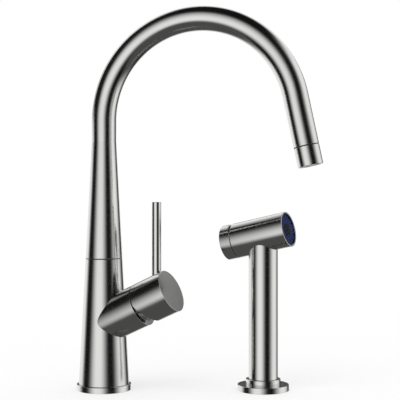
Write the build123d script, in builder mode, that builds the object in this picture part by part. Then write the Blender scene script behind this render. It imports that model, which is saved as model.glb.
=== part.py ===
"""Side spray kitchen faucet: a single-lever mixer with a swan-neck spout, and a hand spray in its holder.

Millimetres. The origin is the centre of the mixer's base on the deck, +Z is up and +X runs through the
centre of the spray holder. Threads are plain bores at their tapping size.
"""

from build123d import *

import os
from math import acos, asin, cos, degrees, radians, sin, tan

# ---------------------------------------------------------------- driving dimensions
# Clearances and small edges
RUNNING_GAP = 0.05  # radial, between pieces that turn or slide on each other
SLIP_GAP = 0.1  # radial, between fixed pieces that are pushed together
EDGE = 0.4  # chamfer that draws each visible seam
SEAL_RECESS = 0.1  # how far a squeezed deck seal lies above the deck
CUT_REACH = 80.0  # longer than anything that is cut away right through

# Mixer body
BASE_FLANGE_RADIUS = 28.0
BASE_FLANGE_HEIGHT = 6.0
BODY_FOOT_RADIUS = 26.0
SWIVEL_SEAM_HEIGHT = 134.6
SWIVEL_SEAM_GAP = 0.6
CORE_RADIUS = 19.9
CORE_NECK_RADIUS = 15.8
CORE_STEP_DROP = 13.5  # from the valve's height down to the step in the core
CORE_TOP_RISE = 30.5  # from the valve's height up to the top of the core
DECK_SEAL_WIDTH = 1.6
DECK_SEAL_DEPTH = 1.4
DECK_SEAL_MARGIN = 1.2  # from the flange's rim to its seal groove

# Connections in the underside of the core, in the valve's own plan directions
INLET_OUTWARD = 6.0
INLET_APART = 16.0
REAR_PORT_INWARD = 8.0
REAR_PORT_APART = 13.6
HOSE_THREAD_RADIUS = 4.5
HOSE_THREAD_DEPTH = 14.0
STUD_THREAD_RADIUS = 3.4
STUD_THREAD_DEPTH = 14.0
WATERWAY_APART = 12.0
WATERWAY_RADIUS = 2.2
MIXED_WAY_RADIUS = 3.2
MIXING_CHAMBER_RADIUS = 12.5
MIXING_CHAMBER_DEPTH = 3.0

# Spout
SPOUT_AZIMUTH = 15.5  # degrees from +X towards -Y, as the spout stands at rest
SPOUT_TUBE_RADIUS = 12.5
SPOUT_BORE_RADIUS = 10.5
CONE_TOP_HEIGHT = 254.6
SPOUT_LEG_LENGTH = 20.8  # straight tube between the cone and the arch
ARCH_RADIUS = 101.5
ARCH_BEND = 167.8
TAIL_LENGTH = 70.3
SWIVEL_BORE_RADIUS = 14.0
SWIVEL_BORE_SPARE = 2.0  # above the post
BORE_TAPER_LENGTH = 8.0

# Swivel post, stations above the seam
POST_BORE_RADIUS = 8.0
POST_FOOT_RADIUS = 13.8
POST_FLANGE_HEIGHT = 6.0
POST_RADIUS = 12.6
POST_RISE = 58.0
GLIDE_RING_LENGTH = 6.0
GLIDE_WASHER_INSET = 0.7
SEAL_STATIONS = (13.0, 21.0)
SEAL_SECTION_RADIUS = 1.2
SEAL_GROOVE_WIDTH = 2.8
SCREW_GROOVE_STATION = 37.0
SCREW_GROOVE_WIDTH = 5.2
SCREW_GROOVE_DEPTH = 1.6
UPPER_GLIDE_STATION = 48.0
SPOUT_SCREW_RADIUS = 2.4
SPOUT_SCREW_TIP_RADIUS = 1.25

# Aerator, stations along the spout's tail from the ring's seam
AERATOR_LENGTH = 20.0
AERATOR_SEAM_GAP = 0.3
AERATOR_WALL = 1.0
AERATOR_LIP = 1.5
AERATOR_SPIGOT = 6.0
AERATOR_WASHER = 1.0
AERATOR_INLET_RADIUS = 9.5
AERATOR_INLET_DEPTH = 7.5
GRID_HOLE_RADIUS = 0.75
GRID_PITCH = 2.2
GRID_RINGS = 4
GRID_HOLE_COUNT = 6  # in the first ring, and as many more in each ring further out

# Diverter in the post's bore, stations above the core
DIVERTER_LENGTH = 28.0
DIVERTER_WALL = 1.4
DIVERTER_SEAT_STATION = 11.0
DIVERTER_SEAT_THICKNESS = 2.0
DIVERTER_SEAT_RADIUS = 4.6
DIVERTER_STROKE = 3.0
POPPET_RADIUS = 5.6
POPPET_HEIGHT = 3.0
POPPET_STEM_RADIUS = 1.5
POPPET_SPARE = 0.3  # left between the poppet and its seat at the end of the stroke
POPPET_COLLAR_RADIUS = 3.2
POPPET_COLLAR_THICKNESS = 1.0
CAGE_WINDOWS = 6
CAGE_WINDOW_CIRCLE = 4.6
DIVERTER_SPRING_WIRE = 0.4
DIVERTER_SPRING_RADIUS = 2.6
DIVERTER_SPRING_TURNS = 6

# Mixing valve, stations along its axis from the mixer's axis
VALVE_AZIMUTH = 22.5
VALVE_TILT = 25.0
VALVE_HEIGHT = 68.3
VALVE_RADIUS = 22.0
VALVE_WALL = 2.5
VALVE_ROOT_STATION = 2.0
CHAMBER_STATION = 13.0
CHAMBER_FLOOR = 6.0
HOUSING_END_STATION = 48.4
PORT_CIRCLE_RADIUS = 5.0
PORT_RADIUS = 1.7
PORT_WAY_DEPTH = 6.5
PORT_SEAL_RADIUS = 3.4
PORT_SEAL_DEPTH = 0.8
PORT_START_ANGLE = 30.0  # the two inlets lie above the axis and the mixed outlet below it
PORT_COUNT = 3

# Cartridge, stations above the chamber's floor
CARTRIDGE_RADIUS = 14.0
CARTRIDGE_BODY_LENGTH = 18.0
CARTRIDGE_NECK_LENGTH = 4.0
CARTRIDGE_WALL = 2.5
DISC_THICKNESS = 3.0
OUTLET_SLOT_LENGTH = 6.7
MOVING_DISC_THICKNESS = 3.8
MIXING_RECESS_DEPTH = 1.2
MIXING_RECESS_TOP = -0.2  # height of its edge across the disc while the valve is shut
MIXING_RECESS_WIDTH = 10.0
MIXING_RECESS_HEIGHT = 3.4
MOVING_DISC_RADIUS = 7.0
STEM_POCKET_RADIUS = 3.3
STEM_POCKET_DEPTH = 1.8
ROTOR_NECK_RADIUS = 9.0
ROTOR_RISE = 6.0  # of its neck above the cartridge
ROTOR_COLLAR_GAP = 0.2
NUT_WALL = 2.6
NUT_LENGTH = 7.0
NUT_SLOTS = 4
NUT_SLOT_WIDTH = 3.0
TRIM_RING_THICKNESS = 1.0
TRIM_RING_GAP = 0.6  # around the rotor
TRIM_DOME_INSET = 0.3  # of its sphere, which is centred on the lever's pivot, from the housing's bore
TRIM_DOME_WALL = 1.4
TRIM_DOME_EDGE_ANGLE = 50.0  # off the valve's axis
TRIM_DOME_RECESS = 0.2  # of its foot below the housing's end

# Lever
LEVER_PIVOT_STATION = 39.5
LEVER_LIFT = 20.0  # degrees, from closed to full flow
PIVOT_PIN_RADIUS = 1.5
STEM_RADIUS = 3.0
STEM_TIP_RADIUS = 2.4
STEM_TIP_RISE = 0.8  # of its shoulder above the rotor's foot
STEM_TIP_GAP = 0.3
STEM_LENGTH = 37.0
CAP_FACE_STATION = 84.9
CAP_SEAM_GAP = 1.0
CAP_BOTTOM_GAP = 11.5  # the rear edge falls back below the axis, which leaves the cap room to tilt
CAP_WALL = 2.5
CAP_FACE_THICKNESS = 3.0
CAP_BOSS_RADIUS = 8.0
CAP_BOSS_STATION = 51.5
CAP_SCREW_STATION = 57.5
CAP_SCREW_RADIUS = 2.0
HEX_SOCKET_SHARE = 0.5  # of a grub screw's radius
HEX_SOCKET_DEPTH = 1.5
SKIRT_GAP = 0.3  # between the skirt's sphere and the dome that it slides under
SKIRT_WALL = 1.2
SKIRT_EDGE_ANGLE = 48.0  # off the valve's axis, with the lever down
ROD_RADIUS = 4.75
ROD_BEHIND_FACE = 18.3
ROD_TOP_HEIGHT = 193.0
ROD_FOOT_RISE = 3.0

# Spray holder
SPRAY_SPACING = 163.9
HOLDER_RADIUS = 26.4
HOLDER_FLANGE_HEIGHT = 6.0
HOLDER_COLLAR_RADIUS = 17.85
HOLDER_HEIGHT = 11.7
HOLDER_LEDGE = 1.2
HOLDER_THROAT_RADIUS = 13.2
HOLDER_STUDS = 3
HOLDER_STUD_CIRCLE = 21.0
HOLDER_STUD_RADIUS = 1.65
HOLDER_STUD_DEPTH = 4.5
LINER_WALL = 1.1
LINER_LIP = 1.0
LINER_RECESS = 0.3

# Hand spray: a column that carries the head, stations along the head's axis from the column's axis
SPRAY_AZIMUTH = 25.5
SPRAY_TILT = 12.5
SPRAY_HEAD_HEIGHT = 159.2
COLUMN_RADIUS = 15.0
COLUMN_WALL = 1.8
HEAD_RADIUS = 18.0
HEAD_WALL = 1.5
HEAD_FACE_STATION = 29.0
HEAD_REAR_STATION = -30.0
SOCKET_THREAD_RADIUS = 9.3
SOCKET_THREAD_DEPTH = 11.0
SOCKET_LENGTH = 15.0
RISER_RADIUS = 5.0
RISER_BORE_RADIUS = 4.0
RISER_ENGAGEMENT = 3.0
RISER_TOP_DROP = 9.0  # below the head's axis
RISER_WAY_RADIUS = 2.6

# Spray valve, in the head
VALVE_BLOCK_REAR = -27.0
VALVE_BLOCK_FRONT = 14.0
PLUNGER_RISE = 11.5
PLUNGER_RADIUS = 2.0
PLUNGER_NECK_RADIUS = 1.2
PLUNGER_NECK_STATION = -3.0
SPRAY_SEAT_STATION = 6.5
SPRAY_POPPET_RADIUS = 3.1
SPRAY_POPPET_LENGTH = 2.5
SPRAY_SEAT_RADIUS = 2.5
SPRING_CHAMBER_RADIUS = 3.8
SPRAY_SPRING_WIRE = 0.35
SPRAY_SPRING_RADIUS = 2.4
SPRAY_SPRING_TURNS = 3
PLUNGER_SEAL_STATION = -15.0
PLUNGER_SEAL_SECTION = 0.45
PLUNGER_SEAL_GROOVE_WIDTH = 1.1

# Spray face
FLOW_CUP_WALL = 1.5
FLOW_HOLE_RADIUS = 1.8
FACE_RECESS = 2.0
FACE_PLATE_THICKNESS = 4.5
JET_DISC_RADIUS = 6.6
JET_DISC_THICKNESS = 2.4
JET_DISC_RISE = 0.4
JET_HOLE_RADIUS = 0.6
JET_RINGS = ((2.2, 6), (4.4, 12))  # circle radius and number of holes
JET_FEED_RADIUS = 5.2
NOZZLE_RINGS = ((9.4, 14), (13.3, 22))  # circle radius and number of nozzles
NOZZLE_RADIUS = 0.85
NOZZLE_FEED_RADIUS = 0.6
NOZZLE_HOLE_RADIUS = 0.3
NOZZLE_DEPTH = 2.0
NOZZLE_RISE = 1.0

# Trigger cap at the rear of the head
TRIGGER_REAR_STATION = -42.2
TRIGGER_SEAM_GAP = 0.6
TRIGGER_TOP_GAP = 4.4  # at the top of the notch that leaves the cap room to rock
TRIGGER_NOTCH_RISE = 7.5  # of the foot of that notch above the head's axis
TRIGGER_WALL = 2.0
TRIGGER_PIVOT_STATION = -32.0
TRIGGER_PIVOT_RISE = 6.0
TRIGGER_PIN_RADIUS = 1.5
TRIGGER_PIN_LENGTH = 17.0
TONGUE_WIDTH = 9.0
LUG_THICKNESS = 3.0
LUG_RADIUS = 3.0
LUG_GAP = 0.4
PUSHER_RADIUS = 2.2
PUSHER_TIP_RADIUS = 1.0
PUSHER_GAP = 0.3

# ---------------------------------------------------------------- planes and worked-out places
UP = Vector(0, 0, 1)


def heading(azimuth, tilt=0.0):
    """Unit vector at an azimuth from +X towards -Y, tilted up."""
    return Vector(
        cos(radians(tilt)) * cos(radians(azimuth)),
        -cos(radians(tilt)) * sin(radians(azimuth)),
        sin(radians(tilt)),
    )


def along(origin, azimuth, tilt):
    """Plane square to a tilted axis: its normal is the axis, its Y is up and its X is level."""
    axis = heading(azimuth, tilt)
    return Plane(origin=origin, x_dir=UP.cross(axis), z_dir=axis)


def lengthwise(plane):
    """Plane that holds another plane's axis as its own Y, with X upwards."""
    return Plane(origin=plane.origin, x_dir=plane.y_dir, z_dir=plane.y_dir.cross(plane.z_dir))


deck = Plane.XY
holder_deck = Plane(origin=(SPRAY_SPACING, 0, 0))
valve = along((0, 0, VALVE_HEIGHT), VALVE_AZIMUTH, VALVE_TILT)
valve_side = lengthwise(valve)
core_plan = Plane(origin=(0, 0, 0), x_dir=heading(VALVE_AZIMUTH), z_dir=UP)
head = along((SPRAY_SPACING, 0, SPRAY_HEAD_HEIGHT), SPRAY_AZIMUTH, SPRAY_TILT)
spout_face = Plane(origin=(0, 0, 0), x_dir=heading(SPOUT_AZIMUTH), z_dir=heading(SPOUT_AZIMUTH).cross(UP))

core_step = VALVE_HEIGHT - CORE_STEP_DROP
core_top = VALVE_HEIGHT + CORE_TOP_RISE
post_shoulder = core_top + POST_FLANGE_HEIGHT
spout_foot = SWIVEL_SEAM_HEIGHT + SWIVEL_SEAM_GAP
swivel_bore_top = spout_foot + POST_RISE + SWIVEL_BORE_SPARE
arch_height = CONE_TOP_HEIGHT + SPOUT_LEG_LENGTH
arch_end = (
    ARCH_RADIUS * (1 - cos(radians(ARCH_BEND))),
    arch_height + ARCH_RADIUS * sin(radians(ARCH_BEND)),
)
tail = Plane(
    origin=spout_face.from_local_coords(arch_end),
    x_dir=spout_face.z_dir,
    z_dir=spout_face.x_dir * sin(radians(ARCH_BEND)) + spout_face.y_dir * cos(radians(ARCH_BEND)),
)
ring_seam = TAIL_LENGTH - AERATOR_LENGTH
chamber_floor = CHAMBER_STATION + CHAMBER_FLOOR
cartridge_top = chamber_floor + CARTRIDGE_BODY_LENGTH + CARTRIDGE_NECK_LENGTH


def cone_radius(height):
    """Outer radius of the tapered body and spout at a height."""
    taper = (BODY_FOOT_RADIUS - SPOUT_TUBE_RADIUS) / (CONE_TOP_HEIGHT - BASE_FLANGE_HEIGHT)
    return BODY_FOOT_RADIUS - (height - BASE_FLANGE_HEIGHT) * taper


# ---------------------------------------------------------------- shared shapes
def bar(plane, radius, start, end, bore=0.0, mode=Mode.ADD):
    """Round bar or tube between two stations along a plane's normal."""
    with BuildSketch(plane.offset(start)) as disc:
        Circle(radius)
        if bore:
            Circle(bore, mode=Mode.SUBTRACT)
    extrude(disc.sketch, amount=end - start, mode=mode)


def bars(plane, places, radius, start, end, bore=0.0, mode=Mode.ADD):
    """Like bars at several places on a plane."""
    with BuildSketch(plane.offset(start)) as discs:
        with Locations(*places):
            Circle(radius)
            if bore:
                Circle(bore, mode=Mode.SUBTRACT)
    extrude(discs.sketch, amount=end - start, mode=mode)


def block(plane, width, height, start, end, centre=(0, 0), mode=Mode.ADD):
    """Rectangular block between two stations along a plane's normal."""
    with BuildSketch(plane.offset(start)) as face:
        with Locations(centre):
            Rectangle(width, height)
    extrude(face.sketch, amount=end - start, mode=mode)


def turned(plane, outline, mode=Mode.ADD):
    """Solid of revolution about a plane's normal. Outline points are (radius, station)."""
    side = lengthwise(plane)
    with BuildSketch(side) as section:
        with BuildLine():
            Polyline(*outline, close=True)
        make_face()
    revolve(section.sketch, axis=Axis(plane.origin, plane.z_dir), mode=mode)


def o_ring(plane, station, mean_radius, section_radius):
    """Round-section ring at a station."""
    side = lengthwise(plane)
    with BuildSketch(side) as section:
        with Locations((mean_radius, station)):
            Circle(section_radius)
    revolve(section.sketch, axis=Axis(plane.origin, plane.z_dir))


def compression_spring(plane, start, end, coil_radius, wire_radius, turns):
    """Helical spring between two stations."""
    foot = plane.offset(start + wire_radius)
    with BuildLine():
        coil = Helix(
            pitch=(end - start - 2 * wire_radius) / turns,
            height=end - start - 2 * wire_radius,
            radius=coil_radius,
            center=foot.origin,
            direction=foot.z_dir,
        )
    with BuildSketch(Plane(origin=coil @ 0, z_dir=coil % 0)) as wire:
        Circle(wire_radius)
    sweep(wire.sketch, path=coil)


def grub_screw(plane, radius, start, end):
    """Grub screw with a hexagon socket in its outer end."""
    bar(plane, radius, start, end)
    with BuildSketch(plane.offset(end)) as socket:
        RegularPolygon(radius * HEX_SOCKET_SHARE, 6)
    extrude(socket.sketch, amount=-HEX_SOCKET_DEPTH, mode=Mode.SUBTRACT)


def pivot_arc(radius, start_angle, end_angle):
    """Arc about the lever's pivot in a lengthwise plane of the valve, between two angles off its axis."""
    return CenterArc((0, LEVER_PIVOT_STATION), radius, 90 - start_angle, start_angle - end_angle)


def ring_places(radius, count, start_angle=0.0):
    """Evenly spaced places on a circle."""
    angles = [radians(start_angle + 360.0 * n / count) for n in range(count)]
    return [(radius * cos(angle), radius * sin(angle)) for angle in angles]


def arch(start_height, tail_end):
    """Centreline of the spout: up, round the arch and down the tail."""
    with BuildLine(spout_face) as line:
        leg = Line((0, start_height), (0, arch_height))
        bend = JernArc(start=leg @ 1, tangent=leg % 1, radius=ARCH_RADIUS, arc_size=-ARCH_BEND)
        Line(bend @ 1, bend @ 1 + (bend % 1) * tail_end)
    return line.line


# ---------------------------------------------------------------- mixer base and body
deck_seal_outer = BASE_FLANGE_RADIUS - DECK_SEAL_MARGIN

with BuildPart() as base_flange:
    turned(
        deck,
        [
            (CORE_RADIUS + SLIP_GAP, 0),
            (BASE_FLANGE_RADIUS, 0),
            (BASE_FLANGE_RADIUS, BASE_FLANGE_HEIGHT - EDGE),
            (BASE_FLANGE_RADIUS - EDGE, BASE_FLANGE_HEIGHT),
            (CORE_RADIUS + SLIP_GAP, BASE_FLANGE_HEIGHT),
        ],
    )
    bar(deck, deck_seal_outer, 0, DECK_SEAL_DEPTH, deck_seal_outer - DECK_SEAL_WIDTH, Mode.SUBTRACT)

with BuildPart() as base_seal:
    bar(deck, deck_seal_outer, SEAL_RECESS, DECK_SEAL_DEPTH, deck_seal_outer - DECK_SEAL_WIDTH)

with BuildPart() as body_shell:
    turned(
        deck,
        [
            (0, BASE_FLANGE_HEIGHT),
            (BODY_FOOT_RADIUS - EDGE, BASE_FLANGE_HEIGHT),
            (cone_radius(BASE_FLANGE_HEIGHT + EDGE), BASE_FLANGE_HEIGHT + EDGE),
            (cone_radius(SWIVEL_SEAM_HEIGHT - EDGE), SWIVEL_SEAM_HEIGHT - EDGE),
            (cone_radius(SWIVEL_SEAM_HEIGHT) - EDGE, SWIVEL_SEAM_HEIGHT),
            (0, SWIVEL_SEAM_HEIGHT),
        ],
    )
    turned(
        valve,
        [
            (0, VALVE_ROOT_STATION),
            (VALVE_RADIUS, VALVE_ROOT_STATION),
            (VALVE_RADIUS, HOUSING_END_STATION - EDGE),
            (VALVE_RADIUS - EDGE, HOUSING_END_STATION),
            (0, HOUSING_END_STATION),
        ],
    )
    bar(deck, CORE_RADIUS + SLIP_GAP, BASE_FLANGE_HEIGHT, core_step + SLIP_GAP, mode=Mode.SUBTRACT)
    bar(deck, CORE_NECK_RADIUS + SLIP_GAP, core_step, post_shoulder, mode=Mode.SUBTRACT)
    bar(deck, POST_FOOT_RADIUS + SLIP_GAP, post_shoulder, SWIVEL_SEAM_HEIGHT, mode=Mode.SUBTRACT)
    bar(valve, VALVE_RADIUS - VALVE_WALL, CHAMBER_STATION - SLIP_GAP, HOUSING_END_STATION, mode=Mode.SUBTRACT)

# Places of the connections in the core's plan: outward along the valve, and across it
inlets = [(INLET_OUTWARD, INLET_APART / 2), (INLET_OUTWARD, -INLET_APART / 2)]
spray_port = (-REAR_PORT_INWARD, REAR_PORT_APART / 2)
stud_port = (-REAR_PORT_INWARD, -REAR_PORT_APART / 2)
inlet_ways = [(INLET_OUTWARD, WATERWAY_APART / 2), (INLET_OUTWARD, -WATERWAY_APART / 2)]
port_places = ring_places(PORT_CIRCLE_RADIUS, PORT_COUNT, PORT_START_ANGLE)
inlet_ports, outlet_port = port_places[:2], port_places[2:]
# The mixed outlet's slanted way meets the mixer's axis at this station and height
mixed_meeting = -PORT_CIRCLE_RADIUS * tan(radians(VALVE_TILT))
mixed_foot = VALVE_HEIGHT - PORT_CIRCLE_RADIUS / cos(radians(VALVE_TILT))
inlet_way_top = VALVE_HEIGHT + INLET_OUTWARD * tan(radians(VALVE_TILT))

with BuildPart() as waterway_block:
    bar(deck, CORE_RADIUS, 0, core_step)
    bar(deck, CORE_NECK_RADIUS, core_step, core_top)
    # The slanted seat of the valve chamber
    bar(valve, CUT_REACH, CHAMBER_STATION, CUT_REACH, mode=Mode.SUBTRACT)
    bars(core_plan, inlets + [spray_port], HOSE_THREAD_RADIUS, 0, HOSE_THREAD_DEPTH, mode=Mode.SUBTRACT)
    bars(core_plan, [stud_port], STUD_THREAD_RADIUS, 0, STUD_THREAD_DEPTH, mode=Mode.SUBTRACT)
    bars(core_plan, inlet_ways, WATERWAY_RADIUS, HOSE_THREAD_DEPTH, inlet_way_top, mode=Mode.SUBTRACT)
    bars(core_plan, [spray_port], WATERWAY_RADIUS, HOSE_THREAD_DEPTH, core_top, mode=Mode.SUBTRACT)
    inlet_port_foot = CHAMBER_STATION - PORT_WAY_DEPTH
    bars(valve, inlet_ports, PORT_RADIUS, inlet_port_foot, CHAMBER_STATION, mode=Mode.SUBTRACT)
    bars(valve, outlet_port, PORT_RADIUS, mixed_meeting, CHAMBER_STATION, mode=Mode.SUBTRACT)
    bar(deck, MIXED_WAY_RADIUS, mixed_foot, core_top, mode=Mode.SUBTRACT)
    bar(deck, MIXING_CHAMBER_RADIUS, core_top - MIXING_CHAMBER_DEPTH, core_top, mode=Mode.SUBTRACT)

# ---------------------------------------------------------------- mixing valve
housing_bore = VALVE_RADIUS - VALVE_WALL
nut_radius = CARTRIDGE_RADIUS + NUT_WALL
nut_foot = cartridge_top - CARTRIDGE_NECK_LENGTH
nut_top = nut_foot + NUT_LENGTH
neck_outer = ROTOR_NECK_RADIUS + RUNNING_GAP + CARTRIDGE_WALL
disc_foot = chamber_floor + CARTRIDGE_WALL
moving_disc_foot = disc_foot + DISC_THICKNESS + RUNNING_GAP
moving_disc_top = moving_disc_foot + MOVING_DISC_THICKNESS
rotor_foot = moving_disc_top + RUNNING_GAP
seal_foot = chamber_floor - PORT_SEAL_DEPTH
cavity_radius = CARTRIDGE_RADIUS - CARTRIDGE_WALL

with BuildPart() as valve_chamber:
    bar(valve, housing_bore - SLIP_GAP, CHAMBER_STATION, nut_top)
    bar(valve, CARTRIDGE_RADIUS + SLIP_GAP, chamber_floor, nut_foot, mode=Mode.SUBTRACT)
    bar(valve, nut_radius + SLIP_GAP, nut_foot, nut_top, mode=Mode.SUBTRACT)
    bars(valve, port_places, PORT_RADIUS, CHAMBER_STATION, chamber_floor, mode=Mode.SUBTRACT)
    bars(valve, port_places, PORT_SEAL_RADIUS, seal_foot, chamber_floor, mode=Mode.SUBTRACT)

with BuildPart() as port_seals:
    bars(valve, port_places, PORT_SEAL_RADIUS, seal_foot, chamber_floor, PORT_RADIUS)

with BuildPart() as cartridge_body:
    bar(valve, CARTRIDGE_RADIUS, chamber_floor, nut_foot)
    bar(valve, neck_outer, nut_foot, cartridge_top)
    bar(valve, cavity_radius, disc_foot, nut_foot, mode=Mode.SUBTRACT)
    bar(valve, ROTOR_NECK_RADIUS + RUNNING_GAP, nut_foot, cartridge_top, mode=Mode.SUBTRACT)
    bars(valve, port_places, PORT_RADIUS, chamber_floor, disc_foot, mode=Mode.SUBTRACT)

with BuildPart() as fixed_disc:
    bar(valve, cavity_radius - SLIP_GAP, disc_foot, disc_foot + DISC_THICKNESS)
    bars(valve, inlet_ports, PORT_RADIUS, disc_foot, disc_foot + DISC_THICKNESS, mode=Mode.SUBTRACT)
    slot_centre = (0, -OUTLET_SLOT_LENGTH / 2)
    slot_width = 2 * PORT_RADIUS
    disc_top = disc_foot + DISC_THICKNESS
    block(valve, slot_width, OUTLET_SLOT_LENGTH, disc_foot, disc_top, slot_centre, Mode.SUBTRACT)

with BuildPart() as moving_disc:
    bar(valve, MOVING_DISC_RADIUS, moving_disc_foot, moving_disc_top)
    bar(valve, STEM_POCKET_RADIUS, moving_disc_top - STEM_POCKET_DEPTH, moving_disc_top, mode=Mode.SUBTRACT)
    # The recess joins the outlet to both inlets once the disc has slid upwards
    recess_top = moving_disc_foot + MIXING_RECESS_DEPTH
    for recess_width, recess_height in (
        (MIXING_RECESS_WIDTH, MIXING_RECESS_HEIGHT),
        (slot_width, OUTLET_SLOT_LENGTH + 2 * MIXING_RECESS_TOP),
    ):
        recess_centre = (0, MIXING_RECESS_TOP - recess_height / 2)
        block(
            valve, recess_width, recess_height, moving_disc_foot, recess_top, recess_centre, Mode.SUBTRACT
        )

with BuildPart() as cartridge_nut:
    bar(valve, nut_radius, nut_foot, nut_top, neck_outer + SLIP_GAP)
    with BuildSketch(valve.offset(nut_top)) as slots:
        with PolarLocations(nut_radius, NUT_SLOTS):
            Rectangle(2 * NUT_WALL, NUT_SLOT_WIDTH)
    extrude(slots.sketch, amount=-NUT_SLOT_WIDTH, mode=Mode.SUBTRACT)

dome_radius = housing_bore - TRIM_DOME_INSET
dome_inner = dome_radius - TRIM_DOME_WALL
dome_foot = HOUSING_END_STATION - TRIM_DOME_RECESS
dome_foot_angle = degrees(acos((dome_foot - LEVER_PIVOT_STATION) / dome_radius))
trim_plate_top = nut_top + TRIM_RING_THICKNESS
trim_plate_angle = degrees(acos((trim_plate_top - LEVER_PIVOT_STATION) / dome_inner))

with BuildPart() as valve_trim_ring:
    trim_bore = ROTOR_NECK_RADIUS + TRIM_RING_GAP
    trim_radius = housing_bore - SLIP_GAP
    with BuildSketch(valve_side) as trim_section:
        with BuildLine():
            dome_arc = pivot_arc(dome_radius, dome_foot_angle, TRIM_DOME_EDGE_ANGLE)
            inner_arc = pivot_arc(dome_inner, trim_plate_angle, TRIM_DOME_EDGE_ANGLE)
            Line(dome_arc @ 1, inner_arc @ 1)
            Polyline(
                inner_arc @ 0,
                (trim_bore, trim_plate_top),
                (trim_bore, nut_top),
                (trim_radius, nut_top),
                (trim_radius, dome_foot),
                dome_arc @ 0,
            )
        make_face()
    revolve(trim_section.sketch, axis=Axis(valve.origin, valve.z_dir))

# The stem swings through this slot in the rotor
stem_swing = (LEVER_PIVOT_STATION - rotor_foot) * tan(radians(LEVER_LIFT))
stem_slot_length = 2 * (STEM_RADIUS / cos(radians(LEVER_LIFT)) + stem_swing + 2 * SLIP_GAP)
stem_slot_width = 2 * (STEM_RADIUS + SLIP_GAP)
pivot_side = Plane(
    origin=valve.origin + valve.z_dir * LEVER_PIVOT_STATION, x_dir=valve.z_dir, z_dir=valve.x_dir
)

with BuildPart() as cartridge_rotor:
    rotor_top = cartridge_top + ROTOR_RISE
    bar(valve, cavity_radius - ROTOR_COLLAR_GAP, rotor_foot, nut_foot - RUNNING_GAP)
    bar(valve, ROTOR_NECK_RADIUS, rotor_foot, rotor_top)
    block(valve, stem_slot_width, stem_slot_length, rotor_foot, rotor_top, mode=Mode.SUBTRACT)
    bar(pivot_side, PIVOT_PIN_RADIUS, -ROTOR_NECK_RADIUS, ROTOR_NECK_RADIUS, mode=Mode.SUBTRACT)

with BuildPart() as lever_pivot_pin:
    pin_half = ROTOR_NECK_RADIUS - EDGE
    bar(pivot_side, PIVOT_PIN_RADIUS, -pin_half, pin_half)

stem_foot = moving_disc_top - STEM_POCKET_DEPTH + STEM_TIP_GAP
stem_shoulder = rotor_foot + STEM_TIP_RISE
stem_top = stem_foot + STEM_LENGTH
with BuildPart() as lever_stem:
    bar(valve, STEM_TIP_RADIUS, stem_foot, stem_shoulder)
    bar(valve, STEM_RADIUS, stem_shoulder, stem_top)
    bar(pivot_side, PIVOT_PIN_RADIUS + RUNNING_GAP, -STEM_RADIUS, STEM_RADIUS, mode=Mode.SUBTRACT)

# ---------------------------------------------------------------- lever
rod_place = valve.origin + valve.z_dir * (CAP_FACE_STATION - ROD_BEHIND_FACE)
rod_plane = Plane(origin=rod_place)
rod_top = ROD_TOP_HEIGHT - rod_place.Z
cap_screw_plane = Plane(
    origin=valve.origin + valve.z_dir * CAP_SCREW_STATION, x_dir=valve.x_dir, z_dir=-valve.y_dir
)
cap_cavity_end = CAP_FACE_STATION - CAP_FACE_THICKNESS
cap_rear = HOUSING_END_STATION + CAP_SEAM_GAP

with BuildPart() as handle_cap:
    turned(
        valve,
        [
            (0, cap_rear),
            (VALVE_RADIUS, cap_rear),
            (VALVE_RADIUS, CAP_FACE_STATION - EDGE),
            (VALVE_RADIUS - EDGE, CAP_FACE_STATION),
            (0, CAP_FACE_STATION),
        ],
    )
    bar(valve, VALVE_RADIUS - CAP_WALL, cap_rear, cap_cavity_end, mode=Mode.SUBTRACT)
    with BuildSketch(valve_side) as tilt_room:
        with BuildLine():
            Polyline(
                (0, cap_rear),
                (-VALVE_RADIUS, HOUSING_END_STATION + CAP_BOTTOM_GAP),
                (-CUT_REACH, HOUSING_END_STATION + CAP_BOTTOM_GAP),
                (-CUT_REACH, HOUSING_END_STATION),
                (0, HOUSING_END_STATION),
                close=True,
            )
        make_face()
    extrude(tilt_room.sketch, amount=CUT_REACH, both=True, mode=Mode.SUBTRACT)
    bar(valve, CAP_BOSS_RADIUS, CAP_BOSS_STATION, cap_cavity_end)
    bar(valve, STEM_RADIUS + SLIP_GAP, CAP_BOSS_STATION, stem_top + SLIP_GAP, mode=Mode.SUBTRACT)
    bar(rod_plane, ROD_RADIUS + SLIP_GAP, ROD_FOOT_RISE, CUT_REACH, mode=Mode.SUBTRACT)
    bar(cap_screw_plane, CAP_SCREW_RADIUS + SLIP_GAP, 0, CAP_BOSS_RADIUS, mode=Mode.SUBTRACT)

skirt_bore = CAP_BOSS_RADIUS + SLIP_GAP
skirt_radius = dome_inner - SKIRT_GAP
skirt_inner = skirt_radius - SKIRT_WALL

with BuildPart() as lever_skirt:
    with BuildSketch(valve_side) as skirt_section:
        with BuildLine():
            skirt_arc = pivot_arc(skirt_radius, SKIRT_EDGE_ANGLE, degrees(asin(skirt_bore / skirt_radius)))
            hollow_arc = pivot_arc(skirt_inner, SKIRT_EDGE_ANGLE, degrees(asin(skirt_bore / skirt_inner)))
            Line(skirt_arc @ 0, hollow_arc @ 0)
            Line(skirt_arc @ 1, hollow_arc @ 1)
        make_face()
    revolve(skirt_section.sketch, axis=Axis(valve.origin, valve.z_dir))

with BuildPart() as lever_rod:
    turned(
        rod_plane,
        [
            (0, ROD_FOOT_RISE + SLIP_GAP),
            (ROD_RADIUS, ROD_FOOT_RISE + SLIP_GAP),
            (ROD_RADIUS, rod_top - EDGE),
            (ROD_RADIUS - EDGE, rod_top),
            (0, rod_top),
        ],
    )

with BuildPart() as handle_grub_screw:
    grub_screw(cap_screw_plane, CAP_SCREW_RADIUS, STEM_RADIUS + RUNNING_GAP, CAP_BOSS_RADIUS)

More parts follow.
